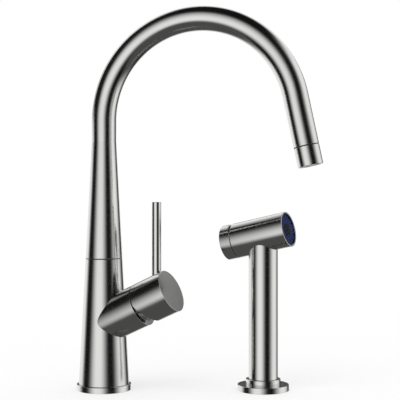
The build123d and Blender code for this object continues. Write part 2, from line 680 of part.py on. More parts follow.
# ---------------------------------------------------------------- swivel post and diverter
glide_outer = SWIVEL_BORE_RADIUS - RUNNING_GAP
post_groove_radius = SWIVEL_BORE_RADIUS - RUNNING_GAP - 2 * SEAL_SECTION_RADIUS - RUNNING_GAP
upper_glide_foot = spout_foot + UPPER_GLIDE_STATION
upper_glide_bore = POST_RADIUS - EDGE
screw_groove_floor = POST_RADIUS - SCREW_GROOVE_DEPTH
screw_height = spout_foot + SCREW_GROOVE_STATION

with BuildPart() as spout_post:
    bar(deck, CORE_NECK_RADIUS, core_top, post_shoulder - SLIP_GAP)
    bar(deck, POST_FOOT_RADIUS, core_top, SWIVEL_SEAM_HEIGHT)
    bar(deck, POST_RADIUS, core_top, spout_foot + POST_RISE)
    bar(deck, POST_BORE_RADIUS, core_top, spout_foot + POST_RISE, mode=Mode.SUBTRACT)
    for station in SEAL_STATIONS:
        groove_foot = spout_foot + station - SEAL_GROOVE_WIDTH / 2
        groove_top = groove_foot + SEAL_GROOVE_WIDTH
        bar(deck, SWIVEL_BORE_RADIUS, groove_foot, groove_top, post_groove_radius, Mode.SUBTRACT)
    bar(
        deck,
        SWIVEL_BORE_RADIUS,
        screw_height - SCREW_GROOVE_WIDTH / 2,
        screw_height + SCREW_GROOVE_WIDTH / 2,
        screw_groove_floor,
        Mode.SUBTRACT,
    )
    bar(
        deck,
        SWIVEL_BORE_RADIUS,
        upper_glide_foot - SLIP_GAP,
        upper_glide_foot + GLIDE_RING_LENGTH + SLIP_GAP,
        upper_glide_bore,
        Mode.SUBTRACT,
    )

with BuildPart() as spout_seals:
    seal_mean_radius = post_groove_radius + RUNNING_GAP + SEAL_SECTION_RADIUS
    for station in SEAL_STATIONS:
        o_ring(deck, spout_foot + station, seal_mean_radius, SEAL_SECTION_RADIUS)

with BuildPart() as lower_glide_ring:
    washer_radius = cone_radius(SWIVEL_SEAM_HEIGHT) - GLIDE_WASHER_INSET
    bar(deck, washer_radius, SWIVEL_SEAM_HEIGHT, spout_foot, POST_RADIUS + RUNNING_GAP)
    bar(deck, glide_outer, SWIVEL_SEAM_HEIGHT, spout_foot + GLIDE_RING_LENGTH, POST_RADIUS + RUNNING_GAP)

with BuildPart() as upper_glide_ring:
    glide_foot, glide_top = upper_glide_foot, upper_glide_foot + GLIDE_RING_LENGTH
    bar(deck, glide_outer, glide_foot, glide_top, upper_glide_bore + RUNNING_GAP)

diverter_foot = core_top + SLIP_GAP
diverter_top = diverter_foot + DIVERTER_LENGTH
cage_radius = POST_BORE_RADIUS - RUNNING_GAP
seat_foot = diverter_foot + DIVERTER_SEAT_STATION
seat_top = seat_foot + DIVERTER_SEAT_THICKNESS
poppet_top = seat_foot - DIVERTER_STROKE - POPPET_SPARE
collar_foot = seat_foot + SLIP_GAP
collar_top = collar_foot + POPPET_COLLAR_THICKNESS
spring_end = diverter_top - DIVERTER_WALL

with BuildPart() as diverter_cage:
    bar(deck, cage_radius, diverter_foot, diverter_top)
    bar(deck, cage_radius - DIVERTER_WALL, diverter_foot, seat_foot, mode=Mode.SUBTRACT)
    bar(deck, DIVERTER_SEAT_RADIUS, seat_foot, seat_top, mode=Mode.SUBTRACT)
    bar(deck, cage_radius - DIVERTER_WALL, seat_top, spring_end, mode=Mode.SUBTRACT)
    bar(deck, POPPET_STEM_RADIUS + RUNNING_GAP, spring_end, diverter_top, mode=Mode.SUBTRACT)
    window_places = ring_places(CAGE_WINDOW_CIRCLE, CAGE_WINDOWS)
    bars(deck, window_places, DIVERTER_WALL, spring_end, diverter_top, mode=Mode.SUBTRACT)

with BuildPart() as diverter_poppet:
    bar(deck, POPPET_RADIUS, poppet_top - POPPET_HEIGHT, poppet_top)
    bar(deck, POPPET_STEM_RADIUS, poppet_top, diverter_top)
    bar(deck, POPPET_COLLAR_RADIUS, collar_foot, collar_top)

with BuildPart() as diverter_spring:
    compression_spring(
        deck,
        collar_top + SLIP_GAP,
        spring_end - SLIP_GAP,
        DIVERTER_SPRING_RADIUS,
        DIVERTER_SPRING_WIRE,
        DIVERTER_SPRING_TURNS,
    )

# ---------------------------------------------------------------- spout
spout_screw_plane = Plane(origin=(0, 0, screw_height), x_dir=UP, z_dir=-spout_face.x_dir)
screw_end = cone_radius(screw_height) - EDGE
spigot_radius = SPOUT_TUBE_RADIUS - AERATOR_WALL - SLIP_GAP
bore_taper_top = swivel_bore_top + BORE_TAPER_LENGTH

with BuildPart() as spout_tube:
    turned(
        deck,
        [
            (0, spout_foot),
            (cone_radius(spout_foot) - EDGE, spout_foot),
            (cone_radius(spout_foot + EDGE), spout_foot + EDGE),
            (SPOUT_TUBE_RADIUS, CONE_TOP_HEIGHT),
            (0, CONE_TOP_HEIGHT),
        ],
    )
    with BuildSketch(deck.offset(CONE_TOP_HEIGHT)) as tube_section:
        Circle(SPOUT_TUBE_RADIUS)
    sweep(tube_section.sketch, path=arch(CONE_TOP_HEIGHT, ring_seam))
    bar(tail, spigot_radius, ring_seam, ring_seam + AERATOR_SPIGOT)
    turned(
        deck,
        [
            (0, spout_foot),
            (SWIVEL_BORE_RADIUS, spout_foot),
            (SWIVEL_BORE_RADIUS, swivel_bore_top),
            (SPOUT_BORE_RADIUS, bore_taper_top),
            (0, bore_taper_top),
        ],
        mode=Mode.SUBTRACT,
    )
    with BuildSketch(deck.offset(bore_taper_top)) as bore_section:
        Circle(SPOUT_BORE_RADIUS)
    sweep(
        bore_section.sketch,
        path=arch(bore_taper_top, ring_seam + AERATOR_SPIGOT),
        mode=Mode.SUBTRACT,
    )
    bar(
        spout_screw_plane,
        SPOUT_SCREW_RADIUS + RUNNING_GAP,
        POST_RADIUS,
        BODY_FOOT_RADIUS,
        mode=Mode.SUBTRACT,
    )

with BuildPart() as spout_grub_screw:
    tip_foot = screw_groove_floor + 2 * SLIP_GAP
    bar(spout_screw_plane, SPOUT_SCREW_TIP_RADIUS, tip_foot, SWIVEL_BORE_RADIUS)
    grub_screw(spout_screw_plane, SPOUT_SCREW_RADIUS, SWIVEL_BORE_RADIUS, screw_end)

# ---------------------------------------------------------------- aerator
ring_foot = ring_seam + AERATOR_SEAM_GAP
ring_end = TAIL_LENGTH
ring_bore = SPOUT_TUBE_RADIUS - AERATOR_WALL
washer_foot = ring_seam + AERATOR_SPIGOT
insert_foot = washer_foot + AERATOR_WASHER
insert_end = ring_end - AERATOR_LIP
lip_bore = ring_bore - AERATOR_WALL

with BuildPart() as aerator_ring:
    turned(
        tail,
        [
            (ring_bore, ring_foot),
            (SPOUT_TUBE_RADIUS - EDGE, ring_foot),
            (SPOUT_TUBE_RADIUS, ring_foot + EDGE),
            (SPOUT_TUBE_RADIUS, ring_end - EDGE),
            (SPOUT_TUBE_RADIUS - EDGE, ring_end),
            (lip_bore, ring_end),
            (lip_bore, insert_end),
            (ring_bore, insert_end),
        ],
    )

with BuildPart() as aerator_washer:
    bar(tail, ring_bore - SLIP_GAP, washer_foot, insert_foot, SPOUT_BORE_RADIUS)

with BuildPart() as aerator_insert:
    bar(tail, ring_bore - SLIP_GAP, insert_foot, insert_end)
    grid_foot = insert_foot + AERATOR_INLET_DEPTH
    bar(tail, AERATOR_INLET_RADIUS, insert_foot, grid_foot, mode=Mode.SUBTRACT)
    grid_places = [(0.0, 0.0)]
    for ring in range(1, GRID_RINGS + 1):
        grid_places += ring_places(ring * GRID_PITCH, GRID_HOLE_COUNT * ring)
    bars(tail, grid_places, GRID_HOLE_RADIUS, grid_foot, insert_end, mode=Mode.SUBTRACT)

# ---------------------------------------------------------------- spray holder
liner_radius = COLUMN_RADIUS + RUNNING_GAP + LINER_WALL
holder_seal_outer = HOLDER_RADIUS - DECK_SEAL_MARGIN
liner_foot = HOLDER_LEDGE + RUNNING_GAP
column_foot = liner_foot + LINER_LIP + RUNNING_GAP

with BuildPart() as holder_flange:
    turned(
        holder_deck,
        [
            (HOLDER_THROAT_RADIUS, 0),
            (HOLDER_RADIUS, 0),
            (HOLDER_RADIUS, HOLDER_FLANGE_HEIGHT - EDGE),
            (HOLDER_RADIUS - EDGE, HOLDER_FLANGE_HEIGHT),
            (HOLDER_COLLAR_RADIUS, HOLDER_FLANGE_HEIGHT),
            (HOLDER_COLLAR_RADIUS, HOLDER_HEIGHT - EDGE),
            (HOLDER_COLLAR_RADIUS - EDGE, HOLDER_HEIGHT),
            (liner_radius + RUNNING_GAP, HOLDER_HEIGHT),
            (liner_radius + RUNNING_GAP, HOLDER_LEDGE),
            (HOLDER_THROAT_RADIUS, HOLDER_LEDGE),
        ],
    )
    seal_inner = holder_seal_outer - DECK_SEAL_WIDTH
    bar(holder_deck, holder_seal_outer, 0, DECK_SEAL_DEPTH, seal_inner, Mode.SUBTRACT)
    stud_places = ring_places(HOLDER_STUD_CIRCLE, HOLDER_STUDS)
    bars(holder_deck, stud_places, HOLDER_STUD_RADIUS, 0, HOLDER_STUD_DEPTH, mode=Mode.SUBTRACT)

with BuildPart() as holder_seal:
    bar(holder_deck, holder_seal_outer, SEAL_RECESS, DECK_SEAL_DEPTH, seal_inner)

with BuildPart() as docking_liner:
    liner_top = HOLDER_HEIGHT - LINER_RECESS
    bar(holder_deck, liner_radius, liner_foot, liner_top, COLUMN_RADIUS + RUNNING_GAP)
    bar(holder_deck, liner_radius, liner_foot, liner_foot + LINER_LIP, HOLDER_THROAT_RADIUS)

# ---------------------------------------------------------------- hand spray shell and supply
column_bore = COLUMN_RADIUS - COLUMN_WALL
head_bore = HEAD_RADIUS - HEAD_WALL
socket_top = column_foot + SOCKET_LENGTH
riser_foot = socket_top - RISER_ENGAGEMENT
riser_top = SPRAY_HEAD_HEIGHT - RISER_TOP_DROP

with BuildPart() as spray_shell:
    bar(holder_deck, COLUMN_RADIUS, column_foot, SPRAY_HEAD_HEIGHT)
    turned(
        head,
        [
            (0, HEAD_REAR_STATION),
            (HEAD_RADIUS - EDGE, HEAD_REAR_STATION),
            (HEAD_RADIUS, HEAD_REAR_STATION + EDGE),
            (HEAD_RADIUS, HEAD_FACE_STATION - EDGE),
            (HEAD_RADIUS - EDGE, HEAD_FACE_STATION),
            (0, HEAD_FACE_STATION),
        ],
    )
    bar(head, head_bore, HEAD_REAR_STATION, HEAD_FACE_STATION, mode=Mode.SUBTRACT)
    bar(holder_deck, column_bore, column_foot, SPRAY_HEAD_HEIGHT, mode=Mode.SUBTRACT)

with BuildPart() as hose_socket:
    bar(holder_deck, column_bore - SLIP_GAP, column_foot, socket_top)
    thread_top = column_foot + SOCKET_THREAD_DEPTH
    bar(holder_deck, SOCKET_THREAD_RADIUS, column_foot, thread_top, mode=Mode.SUBTRACT)
    bar(holder_deck, RISER_BORE_RADIUS, column_foot, socket_top, mode=Mode.SUBTRACT)
    bar(holder_deck, RISER_RADIUS + SLIP_GAP, riser_foot, socket_top, mode=Mode.SUBTRACT)

with BuildPart() as riser_tube:
    bar(holder_deck, RISER_RADIUS, riser_foot, riser_top, RISER_BORE_RADIUS)

# ---------------------------------------------------------------- spray valve
plunger_line = Plane(
    origin=head.from_local_coords((0, PLUNGER_RISE, 0)), x_dir=head.x_dir, z_dir=head.z_dir
)
trigger_side = Plane(
    origin=head.from_local_coords((0, TRIGGER_PIVOT_RISE, TRIGGER_PIVOT_STATION)),
    x_dir=head.z_dir,
    z_dir=head.x_dir,
)
valve_block_radius = head_bore - SLIP_GAP
tongue_end = TRIGGER_PIVOT_STATION - LUG_RADIUS
poppet_end = SPRAY_SEAT_STATION + SPRAY_POPPET_LENGTH
plunger_end = TRIGGER_PIVOT_STATION + PUSHER_GAP

with BuildPart() as spray_valve_block:
    bar(head, valve_block_radius, VALVE_BLOCK_REAR, VALVE_BLOCK_FRONT)
    block(head, TONGUE_WIDTH, 2 * LUG_RADIUS, tongue_end, VALVE_BLOCK_REAR, (0, TRIGGER_PIVOT_RISE))
    bar(trigger_side, TRIGGER_PIN_RADIUS, -TONGUE_WIDTH, TONGUE_WIDTH, mode=Mode.SUBTRACT)
    bar(holder_deck, RISER_RADIUS + SLIP_GAP, 0, riser_top, mode=Mode.SUBTRACT)
    bar(holder_deck, RISER_WAY_RADIUS, riser_top, plunger_line.origin.Z, mode=Mode.SUBTRACT)
    guide_bore = PLUNGER_RADIUS + RUNNING_GAP
    bar(plunger_line, guide_bore, VALVE_BLOCK_REAR, PLUNGER_NECK_STATION, mode=Mode.SUBTRACT)
    bar(plunger_line, SPRAY_SEAT_RADIUS, PLUNGER_NECK_STATION, SPRAY_SEAT_STATION, mode=Mode.SUBTRACT)
    bar(plunger_line, SPRING_CHAMBER_RADIUS, SPRAY_SEAT_STATION, VALVE_BLOCK_FRONT, mode=Mode.SUBTRACT)

seal_station_foot = PLUNGER_SEAL_STATION - PLUNGER_SEAL_GROOVE_WIDTH / 2
seal_station_top = PLUNGER_SEAL_STATION + PLUNGER_SEAL_GROOVE_WIDTH / 2
seal_groove_floor = PLUNGER_RADIUS - 2 * PLUNGER_SEAL_SECTION - RUNNING_GAP

with BuildPart() as valve_plunger:
    bar(plunger_line, PLUNGER_RADIUS, plunger_end, PLUNGER_NECK_STATION)
    bar(plunger_line, PLUNGER_NECK_RADIUS, PLUNGER_NECK_STATION, poppet_end)
    bar(plunger_line, SPRAY_POPPET_RADIUS, SPRAY_SEAT_STATION + RUNNING_GAP, poppet_end)
    bar(
        plunger_line,
        PLUNGER_RADIUS,
        seal_station_foot,
        seal_station_top,
        seal_groove_floor,
        Mode.SUBTRACT,
    )

with BuildPart() as plunger_seal:
    seal_mean = PLUNGER_RADIUS - PLUNGER_SEAL_SECTION
    o_ring(plunger_line, PLUNGER_SEAL_STATION, seal_mean, PLUNGER_SEAL_SECTION)

with BuildPart() as plunger_spring:
    compression_spring(
        plunger_line,
        poppet_end,
        VALVE_BLOCK_FRONT,
        SPRAY_SPRING_RADIUS,
        SPRAY_SPRING_WIRE,
        SPRAY_SPRING_TURNS,
    )

# ---------------------------------------------------------------- spray face
plate_front = HEAD_FACE_STATION - FACE_RECESS
plate_foot = plate_front - FACE_PLATE_THICKNESS
jet_foot = plate_front - JET_DISC_THICKNESS

with BuildPart() as flow_cup:
    cup_floor = VALVE_BLOCK_FRONT + FLOW_CUP_WALL
    bar(head, valve_block_radius, VALVE_BLOCK_FRONT, plate_foot)
    bar(head, valve_block_radius - FLOW_CUP_WALL, cup_floor, plate_foot, mode=Mode.SUBTRACT)
    bar(plunger_line, FLOW_HOLE_RADIUS, VALVE_BLOCK_FRONT, cup_floor, mode=Mode.SUBTRACT)

nozzle_places = []
for circle_radius, nozzle_count in NOZZLE_RINGS:
    nozzle_places += ring_places(circle_radius, nozzle_count)

with BuildPart() as spray_plate:
    bar(head, valve_block_radius, plate_foot, plate_front)
    bar(head, JET_DISC_RADIUS + RUNNING_GAP, jet_foot, plate_front, mode=Mode.SUBTRACT)
    bar(head, JET_FEED_RADIUS, plate_foot, jet_foot, mode=Mode.SUBTRACT)
    bars(head, nozzle_places, NOZZLE_RADIUS, plate_front - NOZZLE_DEPTH, plate_front, mode=Mode.SUBTRACT)
    bars(head, nozzle_places, NOZZLE_FEED_RADIUS, plate_foot, plate_front, mode=Mode.SUBTRACT)

with BuildPart() as spray_nozzles:
    bars(
        head,
        nozzle_places,
        NOZZLE_RADIUS,
        plate_front - NOZZLE_DEPTH,
        plate_front + NOZZLE_RISE,
        NOZZLE_HOLE_RADIUS,
    )

with BuildPart() as jet_disc:
    bar(head, JET_DISC_RADIUS, jet_foot, plate_front + JET_DISC_RISE)
    jet_places = [(0.0, 0.0)]
    for circle_radius, hole_count in JET_RINGS:
        jet_places += ring_places(circle_radius, hole_count)
    bars(head, jet_places, JET_HOLE_RADIUS, jet_foot, plate_front + JET_DISC_RISE, mode=Mode.SUBTRACT)

# ---------------------------------------------------------------- trigger
trigger_apex = HEAD_REAR_STATION - TRIGGER_SEAM_GAP
trigger_cavity_foot = TRIGGER_REAR_STATION + TRIGGER_WALL
lug_centre = TONGUE_WIDTH / 2 + LUG_GAP + LUG_THICKNESS / 2
head_side = lengthwise(head)

with BuildPart() as trigger_cap:
    turned(
        head,
        [
            (0, TRIGGER_REAR_STATION),
            (HEAD_RADIUS - EDGE, TRIGGER_REAR_STATION),
            (HEAD_RADIUS, TRIGGER_REAR_STATION + EDGE),
            (HEAD_RADIUS, trigger_apex),
            (0, trigger_apex),
        ],
    )
    bar(head, head_bore, trigger_cavity_foot, trigger_apex, mode=Mode.SUBTRACT)
    # Its front edge falls back towards the top, which leaves it room to rock
    with BuildSketch(head_side) as rocker_room:
        with BuildLine():
            Polyline(
                (TRIGGER_NOTCH_RISE, trigger_apex),
                (HEAD_RADIUS, HEAD_REAR_STATION - TRIGGER_TOP_GAP),
                (CUT_REACH, HEAD_REAR_STATION - TRIGGER_TOP_GAP),
                (CUT_REACH, HEAD_REAR_STATION),
                (TRIGGER_NOTCH_RISE, HEAD_REAR_STATION),
                close=True,
            )
        make_face()
    extrude(rocker_room.sketch, amount=CUT_REACH, both=True, mode=Mode.SUBTRACT)
    for side in (-1, 1):
        lug_start = side * lug_centre - LUG_THICKNESS / 2
        lug_end = side * lug_centre + LUG_THICKNESS / 2
        lug_reach = TRIGGER_PIVOT_STATION - trigger_cavity_foot
        bar(trigger_side, LUG_RADIUS, lug_start, lug_end)
        block(trigger_side, lug_reach, 2 * LUG_RADIUS, lug_start, lug_end, (-lug_reach / 2, 0))
        bar(trigger_side, TRIGGER_PIN_RADIUS + RUNNING_GAP, lug_start, lug_end, mode=Mode.SUBTRACT)
    turned(
        plunger_line,
        [
            (0, trigger_cavity_foot),
            (PUSHER_RADIUS, trigger_cavity_foot),
            (PUSHER_RADIUS, TRIGGER_PIVOT_STATION - PUSHER_RADIUS),
            (PUSHER_TIP_RADIUS, TRIGGER_PIVOT_STATION),
            (0, TRIGGER_PIVOT_STATION),
        ],
    )

with BuildPart() as trigger_pin:
    bar(trigger_side, TRIGGER_PIN_RADIUS, -TRIGGER_PIN_LENGTH / 2, TRIGGER_PIN_LENGTH / 2)

# ---------------------------------------------------------------- labels and files
pieces = {
    "base_flange": base_flange,
    "base_seal": base_seal,
    "body_shell": body_shell,
    "waterway_block": waterway_block,
    "valve_chamber": valve_chamber,
    "port_seals": port_seals,
    "cartridge_body": cartridge_body,
    "fixed_disc": fixed_disc,
    "moving_disc": moving_disc,
    "cartridge_rotor": cartridge_rotor,
    "cartridge_nut": cartridge_nut,
    "valve_trim_ring": valve_trim_ring,
    "lever_pivot_pin": lever_pivot_pin,
    "lever_stem": lever_stem,
    "handle_cap": handle_cap,
    "lever_skirt": lever_skirt,
    "handle_grub_screw": handle_grub_screw,
    "lever_rod": lever_rod,
    "spout_post": spout_post,
    "spout_seals": spout_seals,
    "lower_glide_ring": lower_glide_ring,
    "upper_glide_ring": upper_glide_ring,
    "diverter_cage": diverter_cage,
    "diverter_poppet": diverter_poppet,
    "diverter_spring": diverter_spring,
    "spout_tube": spout_tube,
    "spout_grub_screw": spout_grub_screw,
    "aerator_ring": aerator_ring,
    "aerator_washer": aerator_washer,
    "aerator_insert": aerator_insert,
    "holder_flange": holder_flange,
    "holder_seal": holder_seal,
    "docking_liner": docking_liner,
    "spray_shell": spray_shell,
    "hose_socket": hose_socket,
    "riser_tube": riser_tube,
    "spray_valve_block": spray_valve_block,
    "valve_plunger": valve_plunger,
    "plunger_seal": plunger_seal,
    "plunger_spring": plunger_spring,
    "flow_cup": flow_cup,
    "spray_plate": spray_plate,
    "spray_nozzles": spray_nozzles,
    "jet_disc": jet_disc,
    "trigger_cap": trigger_cap,
    "trigger_pin": trigger_pin,
}

os.makedirs("parts", exist_ok=True)
for node_name, piece in pieces.items():
    piece.part.label = node_name
    export_step(piece.part, f"parts/{node_name}.step")
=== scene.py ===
"""Looks of the side spray kitchen faucet: a satin steel mixer with a swan-neck spout, and its hand spray.

Metres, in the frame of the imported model: the mixer stands on the origin, +Z is up and +X runs through the
centre of the spray holder. Every new piece is a surface turned about an axis or carried along the spout's
centreline. A turned surface has the formula

    place = origin + radius * (cos(angle) * level + sin(angle) * upward) + station * along

where radius and station follow an outline, and level, upward and along are the directions of its axis.
"""

import logging
import math
from collections.abc import Sequence
from dataclasses import dataclass, field
from enum import Enum
from functools import cache

import bpy
import numpy as np
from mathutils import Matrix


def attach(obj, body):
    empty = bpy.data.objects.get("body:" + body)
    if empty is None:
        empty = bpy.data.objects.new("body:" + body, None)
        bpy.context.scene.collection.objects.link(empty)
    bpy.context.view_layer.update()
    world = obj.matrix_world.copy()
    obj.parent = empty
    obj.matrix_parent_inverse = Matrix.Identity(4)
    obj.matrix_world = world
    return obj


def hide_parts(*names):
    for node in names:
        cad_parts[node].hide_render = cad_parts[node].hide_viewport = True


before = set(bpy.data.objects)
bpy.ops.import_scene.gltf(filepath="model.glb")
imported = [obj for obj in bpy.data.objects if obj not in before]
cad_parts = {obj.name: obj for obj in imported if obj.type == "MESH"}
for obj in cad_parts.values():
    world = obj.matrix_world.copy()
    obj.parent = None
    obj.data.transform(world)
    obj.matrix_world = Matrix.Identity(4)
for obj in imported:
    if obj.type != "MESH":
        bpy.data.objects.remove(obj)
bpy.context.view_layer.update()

log = logging.getLogger("faucet")

MM = 0.001

# Fineness of the surfaces
AROUND = 128  # columns round a large turned piece
LONGEST_RUN = 6 * MM  # between two points of a long piece's outline
PIPE_RUNS = 6  # along a short pipe
ARC_STEPS = 5  # runs in a rounded edge
BALL_STEPS = 8  # runs in an arc of a ball
CREASE = 0.08 * MM  # rounding of an edge that looks sharp
CREASE_STEPS = 2  # runs in such an edge
ROUNDED_SHARE = 0.4  # of the shorter run beside a corner, the most that its rounding takes up
HOLD_SHARE = 0.6  # of a rounding, from its end to the point that keeps the next face flat
HOLD_LIMIT = 0.1  # of the shorter run beside a corner, the most that this distance may be
SAME_PLACE = 1e-9  # metres, within which a row has shrunk to one place

# Sizes that several pieces share
EDGE = 0.4 * MM  # rounding of the visible seams
SLIP_GAP = 0.1 * MM
RUNNING_GAP = 0.05 * MM
SEAL_WIDTH = 1.6 * MM
SEAL_DEPTH = 1.4 * MM

TURNED_PLACE = "turned_place"  # attribute: across the axis in metres, and along the outline


# ---------------------------------------------------------------- geometry


@dataclass(frozen=True)
class Axis:
    """A straight axis, with a level and an upward direction square to it, right-handed in that order."""

    origin: np.ndarray
    level: np.ndarray
    upward: np.ndarray
    along: np.ndarray

    @classmethod
    def upright(cls, x: float = 0.0, y: float = 0.0, z: float = 0.0) -> "Axis":
        """Axis that points straight up from a place."""
        return cls(np.array([x, y, z]), *np.eye(3))

    @classmethod
    def tilted(cls, origin: Sequence[float], azimuth: float, tilt: float) -> "Axis":
        """Axis at an azimuth from +X towards -Y, tilted up.

        Args:
            origin: Place on the axis whose station is zero.
            azimuth: Degrees from +X towards -Y.
            tilt: Degrees above the level.

        Returns:
            The axis, with its level direction square to its plan and its upward direction square to both.
        """
        turn, rise = math.radians(azimuth), math.radians(tilt)
        along = np.array([math.cos(rise) * math.cos(turn), -math.cos(rise) * math.sin(turn), math.sin(rise)])
        level = np.array([math.sin(turn), math.cos(turn), 0.0])
        return cls(np.array(origin, float), level, np.cross(along, level), along)

    def flipped(self) -> "Axis":
        """The same line seen from its other end, still with the same upward direction."""
        return Axis(self.origin, -self.level, self.upward, -self.along)

    def moved(self, level: float = 0.0, upward: float = 0.0, along: float = 0.0) -> "Axis":
        """The same axis with its origin moved by its own directions."""
        shift = level * self.level + upward * self.upward + along * self.along
        return Axis(self.origin + shift, self.level, self.upward, self.along)

    def places(self, radius: np.ndarray, angle: np.ndarray, station: np.ndarray) -> np.ndarray:
        """Places at a radius, an angle and a station, by the formula at the top of this file.

        Args:
            radius: Distances from the axis.
            angle: Angles from the level direction towards the upward one, in radians.
            station: Distances along the axis.

        Returns:
            An array of places, in the arguments' common shape with one more dimension of three.
        """
        radius, angle, station = np.broadcast_arrays(radius, angle, station)
        across = (radius * np.cos(angle))[..., None] * self.level
        above = (radius * np.sin(angle))[..., None] * self.upward
        return self.origin + across + above + station[..., None] * self.along


@dataclass(frozen=True)
class Corner:
    """A corner of an outline: its radius and station, and how far it is rounded."""

    radius: float
    station: float
    rounding: float = CREASE


def rounded_corner(corner: Corner, before: np.ndarray, after: np.ndarray) -> np.ndarray:
    """Arc in a corner, between two holding points.

    The arc's centre lies on the corner's bisector, rounding / sin(half angle) away, and the arc touches
    both runs rounding / tan(half angle) from the corner.

    Args:
        corner: The corner.
        before: The run from the corner to the one before it.
        after: The run from the corner to the one after it.

    Returns:
        Points of the outline, one row each.
    """
    here = np.array([corner.radius, corner.station])
    room = min(np.linalg.norm(before), np.linalg.norm(after))
    back, ahead = before / np.linalg.norm(before), after / np.linalg.norm(after)
    half = 0.5 * math.acos(float(np.clip(back @ ahead, -1.0, 1.0)))
    rounding = min(corner.rounding, ROUNDED_SHARE * room * math.tan(half))
    setback = rounding / math.tan(half)
    bisector = (back + ahead) / np.linalg.norm(back + ahead)
    centre = here + bisector * rounding / math.sin(half)
    first, last = here + back * setback - centre, here + ahead * setback - centre
    start = math.atan2(first[1], first[0])
    turn = (math.atan2(last[1], last[0]) - start + math.pi) % (2 * math.pi) - math.pi
    steps = ARC_STEPS if corner.rounding > CREASE else CREASE_STEPS
    angles = start + turn * np.linspace(0.0, 1.0, steps + 1)
    arc = centre + rounding * np.column_stack([np.cos(angles), np.sin(angles)])
    hold = min(HOLD_SHARE * rounding, HOLD_LIMIT * room)
    return np.vstack([arc[0] + back * hold, arc, arc[-1] + ahead * hold])


def softened(corners: Sequence[Corner], closed: bool = True) -> np.ndarray:
    """Outline with its corners rounded, apart from the two ends of an open one and corners of no rounding.

    Args:
        corners: The corners in order, with the solid on the left.
        closed: Whether the last corner runs back to the first.

    Returns:
        Radii and stations, one row for each point.
    """
    places = np.array([(corner.radius, corner.station) for corner in corners])
    last = len(corners) - 1
    runs = []
    for index, corner in enumerate(corners):
        if not corner.rounding or (not closed and index in (0, last)):
            runs.append(places[index : index + 1])
            continue
        before = places[index - 1] - places[index]
        after = places[(index + 1) % len(corners)] - places[index]
        runs.append(rounded_corner(corner, before, after))
    return np.vstack(runs)


def divided(outline: np.ndarray, longest: float, closed: bool = True) -> np.ndarray:
    """Outline with its long runs divided evenly, so that none is longer than a length.

    Args:
        outline: Radii and stations, one row for each point.
        longest: The longest run that may stay.
        closed: Whether the last point runs back to the first.

    Returns:
        Radii and stations, one row for each point.
    """
    starts = outline if closed else outline[:-1]
    ends = np.roll(outline, -1, axis=0) if closed else outline[1:]
    counts = np.maximum(1, np.ceil(np.linalg.norm(ends - starts, axis=1) / longest)).astype(int)
    index = np.repeat(np.arange(len(starts)), counts)
    first = np.repeat(np.cumsum(counts) - counts, counts)
    share = (np.arange(counts.sum()) - first) / counts[index]
    points = starts[index] + share[:, None] * (ends - starts)[index]
    return points if closed else np.vstack([points, outline[-1:]])


def outline_length(outline: np.ndarray) -> np.ndarray:
    """Length of the outline from its first point to each of its points."""
    return np.concatenate([[0.0], np.cumsum(np.linalg.norm(np.diff(outline, axis=0), axis=1))])


def ball_arc(station: float, radius: float, start: float, end: float) -> list[Corner]:
    """Arc of a ball whose centre is on the axis: radius * sin(a) from the axis, at station + radius * cos(a).

    Args:
        station: Station of the ball's centre.
        radius: Radius of the ball.
        start: First angle off the axis in degrees.
        end: Last angle off the axis in degrees.

    Returns:
        The arc's points as corners, of which only the two ends are rounded.
    """
    angle = np.radians(np.linspace(start, end, BALL_STEPS + 1))
    across, along = radius * np.sin(angle), station + radius * np.cos(angle)
    roundings = [CREASE, *[0.0] * (BALL_STEPS - 1), CREASE]
    return [Corner(*place) for place in zip(across, along, roundings)]


def seal_groove(outer: float) -> list[Corner]:
    """Corners of a seal's groove in a face at station 0, from its inner side to its outer radius."""
    inner = outer - SEAL_WIDTH
    return [Corner(inner, 0.0), Corner(inner, SEAL_DEPTH), Corner(outer, SEAL_DEPTH), Corner(outer, 0.0)]


def between_walls(
    outline: np.ndarray, outer: float, inner: float, at_outer: np.ndarray, at_inner: np.ndarray
) -> np.ndarray:
    """Values round a pipe: one in its outer wall, another in its inner wall, and a blend in between.

    Args:
        outline: Radii and stations of the pipe's section, one row for each point.
        outer: Outer radius.
        inner: Inner radius.
        at_outer: Values round the outer wall, one for each column.
        at_inner: Values round the inner wall, one for each column.

    Returns:
        The values, rows by columns.
    """
    share = np.clip((outer - outline[:, :1]) / (outer - inner), 0.0, 1.0)
    return at_outer * (1.0 - share) + at_inner * share


def quadratic_root(a: float, b: np.ndarray, c: np.ndarray, sign: float) -> np.ndarray:
    """Root of a s^2 + b s + c = 0, the larger one for a sign of 1 and the smaller one for -1."""
    return (-b + sign * np.sqrt(np.maximum(b**2 - 4 * a * c, 0.0))) / (2 * a)


def angles_around(columns: int) -> np.ndarray:
    """Even angles round a full turn, in radians."""
    return np.arange(columns) * 2 * math.pi / columns


def placed(name: str, data: bpy.types.ID) -> bpy.types.Object:
    """New object at the origin, in the scene."""
    thing = bpy.data.objects.new(name, data)
    bpy.context.scene.collection.objects.link(thing)
    return thing


